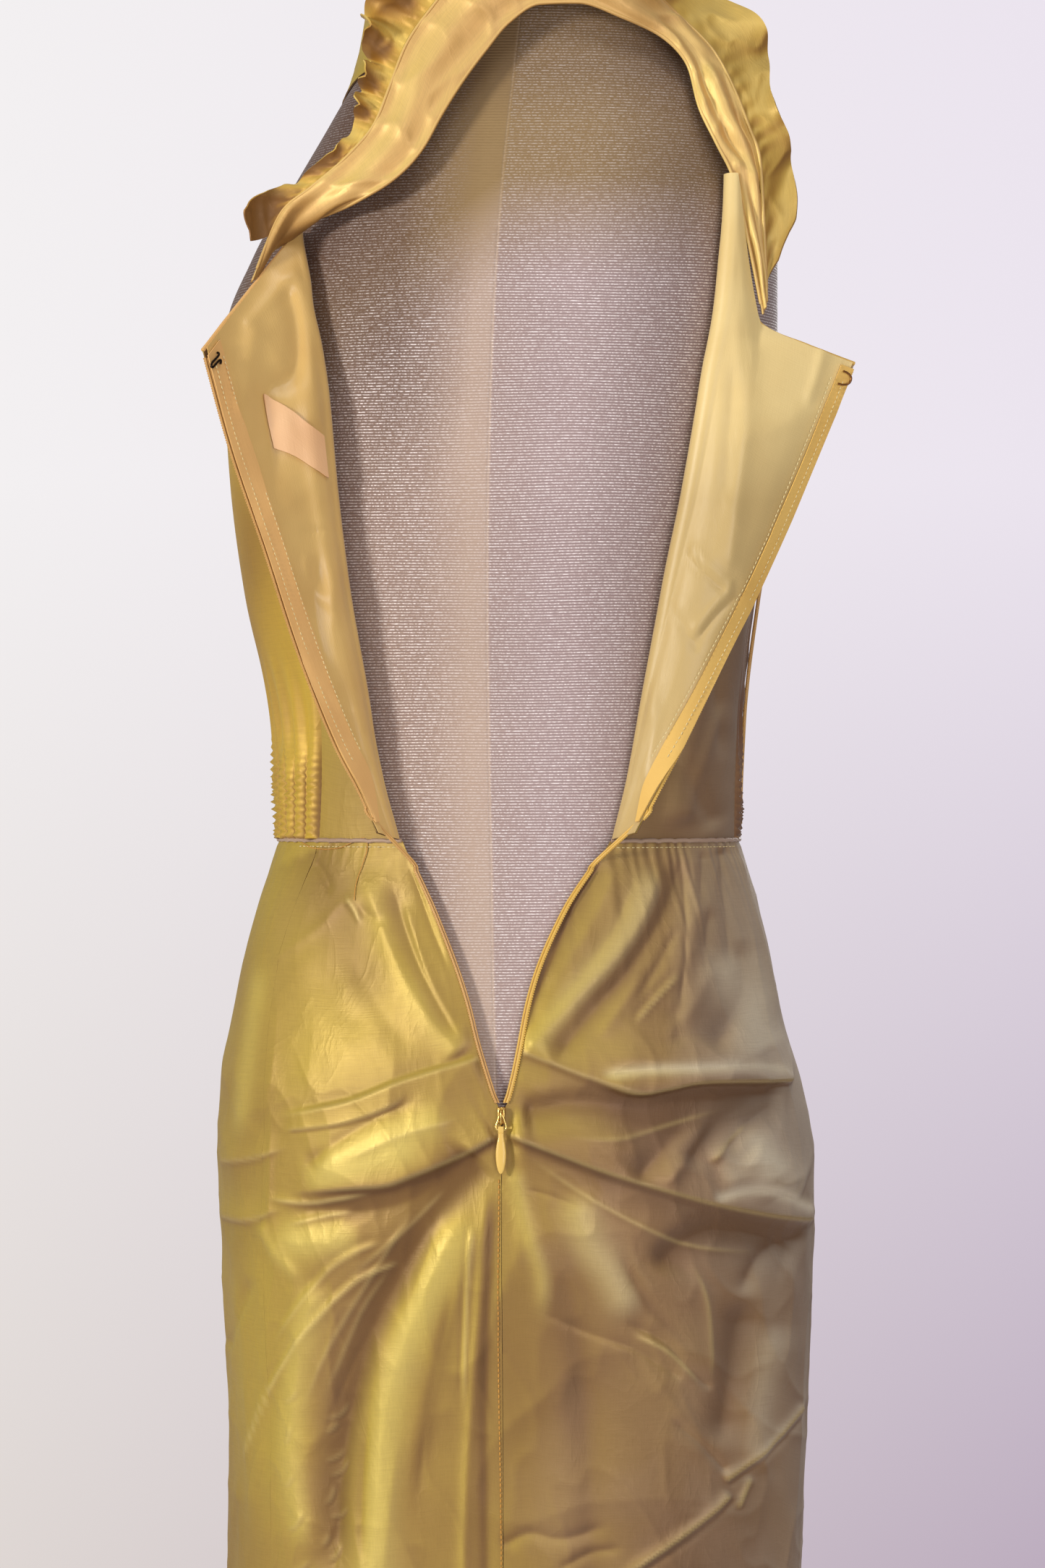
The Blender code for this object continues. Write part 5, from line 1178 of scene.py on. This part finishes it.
def makeSkirt():
    pieces = {
        'skirtBackLeft': {
            'node': 'skirt_back_left', 'slot': 'shot_silk_gold', 'flat': (0.17, 0.66),
            'first': lambda rise: skirtSeamsAt(rise).left + seamTurn,
            'last': lambda rise: openingAt(rise).left, 'columns': 126, 'step': 0.0009},
        'skirtBackRight': {
            'node': 'skirt_back_right', 'slot': 'shot_silk_bronze', 'flat': (0.26, 0.66),
            'first': lambda rise: openingAt(rise).right,
            'last': lambda rise: skirtSeamsAt(rise).right - seamTurn, 'columns': 138, 'step': 0.0009},
        'skirtFront': {
            'node': 'skirt_front', 'slot': 'shot_silk_bronze', 'flat': (0.64, 0.66),
            'first': lambda rise: skirtSeamsAt(rise).right + seamTurn,
            'last': lambda rise: 360 + skirtSeamsAt(rise).left - seamTurn, 'columns': 110, 'step': 0.0016},
    }
    # Depths below the waist, and how much coarser than the finest step the rows are between them
    stretches = ((0.0004, 0.100, 2.3), (0.100, 0.212, 1), (0.212, 0.400, 1.5), (0.400, skirtLength, 7))
    for name, piece in pieces.items():
        depths = [stretches[0][0]]
        for start, end, coarse in stretches:
            depths += spread(start, end, round((end - start) / piece['step'] / coarse))[1:]
        share, rise = np.meshgrid(np.array(spread(0, 1, piece['columns'])), -np.array(depths))
        angle = np.radians(between(piece['first'](rise), piece['last'](rise), share))
        thing = shell(name, skirtPoint(angle, rise), silk, paintedTones=skirtPaintedLight(angle, rise))
        declare(thing, piece['node'])


makeSkirt()
print('skirt made')


# Bodice

def makeBacks():
    columns = np.array(spread(0, 1, 24) + spread(1, 2, 14)[1:] + spread(2, 3, 46)[1:])
    down = np.array(spread(0, 1, 130))
    backs = {
        'left': {'half': leftHalf, 'slot': 'shot_silk_gold', 'lining': liningLeft, 'tape': tapeLeft,
                 'flat': (0.14, 0.33), 'liningFlat': (0.12, 0.33)},
        'right': {'half': rightHalf, 'slot': 'shot_silk_bronze', 'lining': liningRight, 'tape': tapeRight,
                  'flat': (0.17, 0.36), 'liningFlat': (0.16, 0.36)},
    }
    for side, back in backs.items():
        half, facing, name = back['half'], back['half'].facing, side.title()
        across, fall = np.meshgrid(columns, down)
        thing = shell('back' + name, backPoint(half, across, fall), silk, facing=facing)
        declare(thing, 'bodice_back_' + side)
        across, fall = np.meshgrid(columns[12:-1], down)
        inner = lifted(backPoint(half, across, fall), -liningLift, facing)
        thing = shell('lining' + name, inner, back['lining'], walls['lining'], facing)
        declare(thing, 'lining_' + side)
        flapWidth = np.linalg.norm(backPoint(half, 3.0, down) - backPoint(half, 2.0, down), axis=-1)
        nearZip, fall = np.meshgrid(np.array(spread(0, 1, 8)), np.array(spread(0.012, 0.975, 140)))
        taper = ramp((1.03 - fall) / 0.18)
        wide = np.minimum(tapeWidth * taper / np.interp(fall, down, flapWidth), 0.92)
        points = lifted(backPoint(half, 3 - (1 - nearZip) * wide, fall), -tapeLift, facing)
        thing = shell('tape' + name, points, back['tape'], walls['tape'], facing)
        declare(thing, 'zip_tape_' + side, rests=['lining' + name])


def makeRibbon():
    # On the left lining. Top and bottom are shares of the way down at its two ends.
    ribbon = {'across': (2.08, 2.62), 'top': (0.33, 0.17), 'bottom': (0.40, 0.27)}
    along, down = np.meshgrid(np.array(spread(0, 1, 24)), np.array(spread(0, 1, 8)))
    fall = between(between(*ribbon['top'], along), between(*ribbon['bottom'], along), down)
    points = backPoint(leftHalf, between(*ribbon['across'], along), fall)
    thing = shell('stayRibbon', lifted(points, -tapeLift), ribbonCloth, walls['tape'])
    declare(thing, 'stay_ribbon', rests=['liningLeft'])


def makeBindings():
    # A narrow rolled edge along the top of each turned-back half.
    for half, cloth in ((leftHalf, tapeLeft), (rightHalf, tapeRight)):
        across = np.array(spread(2.0, 3.0, 80))
        edge = backPoint(half, across, np.zeros_like(across))
        fasten(tube('topEdge' + half.side.title(), edge, 0.0011, cloth))


def makeSidePanels():
    shirring = {'top': 0.060, 'lift': 0.0030, 'crimp': 0.0042, 'fan': 0.0012}
    sides = {
        # The left panel takes the lighter copy of the silk, painted light, and the right the darker one,
        # painted shade.
        'left': {'ribs': 7, 'top': 0.214, 'silk': silkLit, 'slot': 'shot_silk_gold',
                 'flat': (0.13, 0.25)},
        'right': {'ribs': 5, 'top': float(rightHalf.fold(0.45).rise), 'silk': silkShade,
                  'slot': 'shot_silk_bronze', 'flat': (0.10, 0.21)},
    }
    for side, panel in sides.items():
        ribs, top = panel['ribs'], shirring['top']
        columns, rises = np.array(spread(0, 1, ribs * 12)), np.array(spread(panel['top'], waistEdge, 110))
        share, rise = np.meshgrid(columns, rises)
        seams = bodiceSeamsAt(rise)
        if side == 'left':
            degrees = between(sideFar['left'] + seamTurn, seams.left - seamTurn, share)
        else:
            degrees = between(seams.right + seamTurn, sideFar['right'] - seamTurn, share)
        rib = abs(np.sin(np.pi * ribs * share)) ** 0.7 * ramp((top - rise) / 0.03)
        crimp = 1 + 0.6 * np.sin(2 * np.pi * rise / shirring['crimp'] + 3 * np.sin(7 * share))
        fan = ramp((rise - top + 0.03) / 0.03) * ramp((top + 0.045 - rise) / 0.045)
        fan = shirring['fan'] * fan * np.sin(2 * np.pi * ribs * 0.8 * share)
        bump = shirring['lift'] * rib * crimp + fan
        if side == 'right':
            crushed = wrinkle(share * 0.10 + rise * 0.5, rise * 0.4, 0.022, 4.4) - 0.4
            bump = bump * 0.6 + 0.0016 * crushed * ramp(share / 0.1)
        points = lifted(bodicePoint(np.radians(degrees), rise), bump)
        thing = shell('side' + side.title(), points, panel['silk'])
        declare(thing, 'side_panel_' + side)


def makeSideEdge():
    # The turned edge of the right side panel's facing, which shows beside the panel.
    rise = np.array(spread(0.008, 0.190, 90))
    angle = np.radians(97 + 1.5 * np.sin(rise * 60) - 26 * rise)
    edge = tube('sideEdgeRight', bodicePoint(angle, rise, 0.0022), 0.0010, coilPeach)
    fasten(edge)


def makeFront():
    across, down = np.meshgrid(np.array(spread(0, 1, 96)), np.array(spread(0, 1, 100)))
    points = frontPoint(across, down)
    x, rise = points[..., 0], points[..., 2] - waist
    lift = 0.0012 * (wrinkle(x, rise, 0.05, 5.2) - 0.4)
    edge = np.minimum(ramp(np.minimum(across, 1 - across) / 0.04), ramp(np.minimum(down, 1 - down) / 0.04))
    thing = shell('bodiceFront', lifted(points, lift * edge), silk)
    declare(thing, 'bodice_front')


def bandLift(across, down):
    # Long soft rolls in the band, pinched towards its right end.
    roll = 0.0011 * np.sin(2 * np.pi * (1.6 * down + 0.5 * np.sin(5 * across)))
    pinch = ramp((across - 0.62) / 0.2)
    crush = 0.0014 * np.sin(2 * np.pi * (2.2 * down + 3 * across)) + 0.0007 * np.sin(90 * across + 9 * down)
    soft = 0.0016 * (wrinkle(across * 0.45, down * 0.04, 0.03, 6.1) - 0.4)
    return (roll + pinch * crush + soft) * ramp(down / 0.12) * ramp((1 - down) / 0.12)


def makeBand():
    across, down = np.meshgrid(np.array(spread(0, 1, 260)), np.array(spread(0, 1, 26)))
    points = lifted(bandPoint(across, down), bandLift(across, down))
    thing = shell('neckBand', points, silkBand, walls['band'])
    declare(thing, 'neck_band', rests=['backLeft', 'backRight'])
    for name, row in (('bandRoll', 1.0), ('bandSeam', 0.02)):
        share = np.array(spread(0.01, 0.99, 200))
        edge = bandPoint(share, np.full_like(share, row))
        fasten(tube(name, edge, 0.0010, silkBand))


def makeRuffle():
    # Its root follows the band's top. Waves counts its loops along it, and lean is how far each
    # place turns over outwards.
    ruffle = {
        'start': 0.035, 'end': 0.985, 'gather': 0.0005, 'soft': 0.0012,
        'waveAt': [0, 0.08, 0.16, 0.28, 0.45, 0.62, 0.72, 0.80, 0.88, 1.0],
        'waves': [0, 0.6, 1.7, 4.6, 6.8, 7.7, 8.4, 9.0, 9.6, 10.4],
        'shadeAt': [0.05, 0.12, 0.30, 0.42, 0.66, 0.74, 0.95],
        'shade': [0.1, 0.15, -0.05, 0, 0, 0.6, 0.6],
    }
    across, down = np.meshgrid(np.array(spread(0, 1, 420)), np.array(spread(0, 1, 22)))
    along = between(ruffle['start'], ruffle['end'], across)
    row = ruffleAt(along)
    flat = np.zeros_like(along)
    root = bandPoint(along, flat)
    step = 1e-3
    sideways = bandPoint(along + step, flat) - bandPoint(along - step, flat)
    outward = unit(np.cross(bandPoint(along, flat + step) - root, sideways))
    away = unit(root - bandPoint(along, flat + 0.4))
    waves = 2 * np.pi * np.interp(across, ruffle['waveAt'], ruffle['waves'])
    lean = row.lean + row.swing * (np.sin(waves) + 0.3 * np.sin(waves * 2.3 + 1))
    lean = np.where(abs(lean) < 1e-3, 1e-3, lean)
    turn = (lean * (1 - down))[..., None]
    reach = (row.width * (1 + 0.10 * np.sin(waves * 0.5)) / lean)[..., None]
    points = root + away * 0.0002 + reach * (away * np.sin(turn) + outward * (1 - np.cos(turn)))
    near = np.exp(-(1 - down) * row.width / 0.007) * ramp((1 - down) / 0.1)
    gather = ruffle['gather'] * np.sin(waves * 5.5) * near
    soft = ruffle['soft'] * (wrinkle(points[..., 0] + points[..., 1], points[..., 2], 0.02, 7.7) - 0.4)
    # Painted shading along the ruffle: darker towards its right end, and its left loops lighter and darker
    # in turn.
    shade = np.interp(along, ruffle['shadeAt'], ruffle['shade'])
    brown = shade + 0.35 * np.sin(waves + 1.2) * ramp((0.40 - along) / 0.1)
    thing = shell('neckRuffle', lifted(points, gather + soft * ramp((1 - down) / 0.3)), silkRuffle,
                  paintedTones={'crest': np.zeros_like(brown), 'brown': brown})
    declare(thing, 'neck_ruffle', rests=['neckBand'])


makeBacks()
makeBindings()
makeRibbon()
makeSidePanels()
makeSideEdge()
makeFront()
makeBand()
makeRuffle()
print('bodice made')


# Waist seam and zip

def onSkirt(x, rise, lift):
    # Points on the skirt's back at (x, rise) in metres, by halving towards the wanted x.
    low, high = np.full_like(x, -1.5), np.full_like(x, 1.5)
    for halving in range(24):
        middle = (low + high) / 2
        less = skirtPoint(middle, rise)[..., 0] < x
        low, high = np.where(less, middle, low), np.where(less, high, middle)
    angle = (low + high) / 2
    here = skirtPoint(angle, rise)
    side = skirtPoint(angle + 0.004, rise) - skirtPoint(angle - 0.004, rise)
    fall = skirtPoint(angle, rise - 0.0004) - skirtPoint(angle, rise + 0.0004)
    return here + unit(np.cross(fall, side)) * lift


def makeWaistSeam():
    start, end = float(openingAt(0.0).right), 360 + float(openingAt(0.0).left)
    angles = np.radians(np.array(spread(start, end, 400)))
    pucker = 0.0003 * np.sin(angles * 60) + 0.0002 * np.sin(angles * 131)
    middle = ring(skirtAt(pucker), angles, 0.0012, 0.0012, 0.0012)
    fasten(tube('waistPiping', middle, 0.0011, piping), 'waist_piping')
    rows = (('waistStitchLeft', -0.0034, 302, 337), ('waistStitchRight', -0.0036, 27.5, 80))
    for name, rise, first, last in rows:
        angles = np.radians(np.array(spread(first, last, 160)))
        path = skirtPoint(angles, np.full_like(angles, rise))
        path = path + unit(path * np.array([1, 1, 0])) * 0.0006
        fasten(stitches(name, path, 0.0019, 0.0009, 0.0003, threadPale))


def makeSkirtTapes():
    for side, sign, material in (('Left', -1, tapeLeft), ('Right', 1, tapeRight)):
        share, rise = np.meshgrid(np.array(spread(0, 1, 6)), -np.array(spread(0.0225, 0.1345, 70)))
        edge = openingAt(rise).left if sign < 0 else openingAt(rise).right
        back = np.degrees(tapeWidth / skirtAt(rise).right) * (1 - share if sign < 0 else share)
        points = skirtPoint(np.radians(edge + sign * back), rise)
        thing = shell('skirtTape' + side, lifted(points, -skirtTapeLift), material, walls['tape'])
        declare(thing, 'zip_tape_skirt_' + side.lower())


def makeCoils():
    # Each edge has a folded cord of tape and the small teeth beside it, down to the slider.
    for half, thick, coil in ((leftHalf, 0.0007, coilPeach), (rightHalf, 0.0009, coilGold)):
        down = np.array(spread(0.015, 1.0, 150))
        upper = backPoint(half, np.full_like(down, 3.0), down)
        rises = -np.array(spread(0.006, 0.1335, 90))
        edge = openingAt(rises)
        angles = np.radians(edge.left if half.facing > 0 else edge.right)
        lower = skirtPoint(angles, rises) - 0.0008 * inwards
        path = curveThrough(np.vstack([upper[:-4:4], lower[3::4], lower[-1:]]), 8)
        inner = path + np.array([half.facing * 0.0016 * thick / 0.0009, 0.0004, 0])
        beside = path + np.array([-half.facing * thick * 0.9, -0.0003, 0])
        name = half.side.title()
        fasten(tube('cord' + name, path, thick, coil))
        fasten(tube('cordInner' + name, inner, thick * 0.7, coil))
        fasten(stitches('teeth' + name, beside, 0.0009, 0.0004, thick * 0.6, coil))


def makeStitching():
    # Rows down the centre back seam, and the dashes that hold each tape's inner edge.
    rise = -np.array(spread(0.172, 0.600, 300))
    x = 0.0024 + 0.0004 * np.sin(rise * 30)
    rows = [('backSeamStitch', onSkirt(x, rise, 0.0007), 0.0021, 0.0006, 0.00045, threadGold)]
    for half in (leftHalf, rightHalf):
        down = np.array(spread(0.04, 0.84, 160))
        edge = backPoint(half, np.full_like(down, 3.0), down)
        into = unit(backPoint(half, np.full_like(down, 2.7), down) - edge)
        outside = unit(np.cross(np.gradient(edge, axis=0), into)) * half.facing
        for n, inset in enumerate((0.0038, 0.0112)):
            path = edge + into * inset + outside * 0.0032
            name = 'tapeStitch' + half.side.title() + str(n)
            rows.append((name, path, 0.0018, 0.0009, 0.0003, threadPale))
    for name, path, length, gap, radius, thread in rows:
        fasten(stitches(name, path, length, gap, radius, thread))


def sliderFrame():
    # Stands on the skirt, its local Z up along the cloth and its local -Y out of it.
    slider = {'angle': 1.0, 'rise': -0.140, 'depth': 0.0020, 'room': 0.0012}
    angle = np.radians(slider['angle'])
    high, low = (Vector(ring(skirtAt(slider['rise'] + step), angle)) for step in (0.012, -0.040))
    up = (high - low).normalized()
    side = Vector((1, 0, 0))
    inward = up.cross(side).normalized()
    place = low.lerp(high, 0.040 / 0.052) - inward * (0.0006 + seamGap + slider['depth'] + slider['room'])
    return Matrix.Translation(place) @ Matrix((side, inward, up)).transposed().to_4x4()


def plump(profile, flat=2.4):
    # Rounded level sections from rows (down, half width, half depth), in millimetres.
    rows = curveThrough(profile, 6) / 1000
    turns = np.array(spread(0, 2 * np.pi, 32))[:-1]
    across, out = np.cos(turns), np.sin(turns)
    return np.stack([
        np.sign(across) * abs(across) ** (2 / flat) * rows[:, 1:2],
        np.sign(out) * abs(out) ** (2 / flat) * rows[:, 2:3],
        np.broadcast_to(-rows[:, :1], (len(rows), len(turns))),
    ], axis=-1)


def makeSlider():
    stand = sliderFrame()
    hinge = stand @ Matrix.Translation((0, -0.0008, 0))
    body = loft('sliderBody', plump([
        (-4.4, 1.5, 0.5), (-4.0, 1.9, 0.8), (-2.0, 2.1, 0.9), (2.0, 1.8, 0.9), (3.9, 1.5, 0.8),
        (4.3, 1.2, 0.5)], 4), goldDark)
    body.data.transform(Matrix.Translation((0, 0.0010, 0)))
    arch = curveThrough([
        (-1.35, -0.2, -3.4), (-1.4, -0.5, 0), (-1.35, -0.5, 2.4), (-0.8, -0.4, 3.5), (0, -0.4, 3.9),
        (0.8, -0.4, 3.5), (1.35, -0.5, 2.4), (1.4, -0.5, 0), (1.35, -0.2, -3.4)], 6) / 1000
    bridge = curveThrough([
        (0, -0.3, 3.4), (0, -1.2, 2.8), (0, -2.1, 1.6), (0, -2.3, -0.4), (0, -2.1, -2.4),
        (0, -1.2, -4.0), (0, 0.2, -4.6)], 6) / 1000
    bail = curveThrough([
        (0, -0.1, 0.2), (0.9, -0.1, -0.4), (1.6, 0, -2.4), (2.4, 0, -4.6), (2.55, 0, -6.4),
        (1.8, 0, -7.2), (0, 0, -7.2), (-1.8, 0, -7.2), (-2.55, 0, -6.4), (-2.4, 0, -4.6),
        (-1.6, 0, -2.4), (-0.9, -0.1, -0.4), (0, -0.1, 0.2)], 6)[:-1] / 1000
    head = plump([(5.6, 1.2, 0.4), (5.8, 1.4, 0.9), (8.6, 1.45, 0.9), (8.9, 1.3, 0.5)], 4.5)
    tab = plump([
        (8.0, 1.2, 0.3), (8.6, 1.4, 0.55), (11.4, 1.5, 0.65), (14.5, 2.15, 0.8), (19.0, 2.65, 0.95),
        (23.5, 2.45, 0.9), (27.0, 1.75, 0.7), (29.0, 0.95, 0.4), (29.6, 0.3, 0.15)])
    for part, place, rides, node in (
        (body, stand, 'dress', 'zip_slider'),
        (tube('sliderArch', arch, 0.00048, gold, 12), stand, 'dress', None),
        (tube('sliderBridge', bridge, 0.00042, gold, 12), stand, 'dress', None),
        (tube('pullBail', bail, 0.0005, gold, 12, closed=True), hinge, 'pull', None),
        (loft('pullHead', head, enamelTab), hinge, 'pull', None),
        (loft('pullTab', tab, enamelTab), hinge, 'pull', 'zip_pull'),
    ):
        part.data.transform(place)
        fasten(part, node, rides)


def makeHookAndEye():
    hook = [(5.8, 0.6), (6.8, 1.4), (6.4, 2.4), (3.0, 2.2), (-0.6, 2.0), (-1.6, 3.0), (-0.6, 4.1),
            (3.0, 4.4), (6.4, 4.8), (7.0, 5.8), (6.0, 6.6)]
    eye = [(6.2, 1.0), (3.5, 1.2), (1.0, 2.4), (0.2, 4.5), (1.0, 6.6), (3.5, 7.8), (6.2, 8.2)]
    rows = (('hook', leftHalf, hook, darkWire), ('eye', rightHalf, eye, bronzeWire))
    for name, half, outline, wire in rows:
        corner = backPoint(half, 3.0, 0.02)
        inward = unit(backPoint(half, 2.8, 0.02) - corner)
        below = unit(backPoint(half, 3.0, 0.06) - corner)
        outside = unit(np.cross(below, inward)) * half.facing
        start = corner + outside * 0.0044
        path = curveThrough([start + (inward * a + below * b) / 1000 for a, b in outline], 6)
        fasten(tube(name, path, 0.0006, wire, 10), 'zip_' + name)


def makeLooseThread():
    x = np.array([-107, -101, -94, -86, -80, -75, -71, -70, -72, -75, -76]) / 1000
    rise = np.array([-1.5, -4, -4.8, -4.2, -2, 0.6, 0.8, -4, -12, -22, -31]) / 1000
    path = onSkirt(x, np.minimum(rise, -0.0006), 0.0012)
    path[:, 2] = waist + rise
    fasten(tube('looseThread', curveThrough(path, 6), 0.00022, threadGold))


makeWaistSeam()
makeSkirtTapes()
makeCoils()
makeStitching()
makeSlider()
makeHookAndEye()
makeLooseThread()
print('waist and zip made')
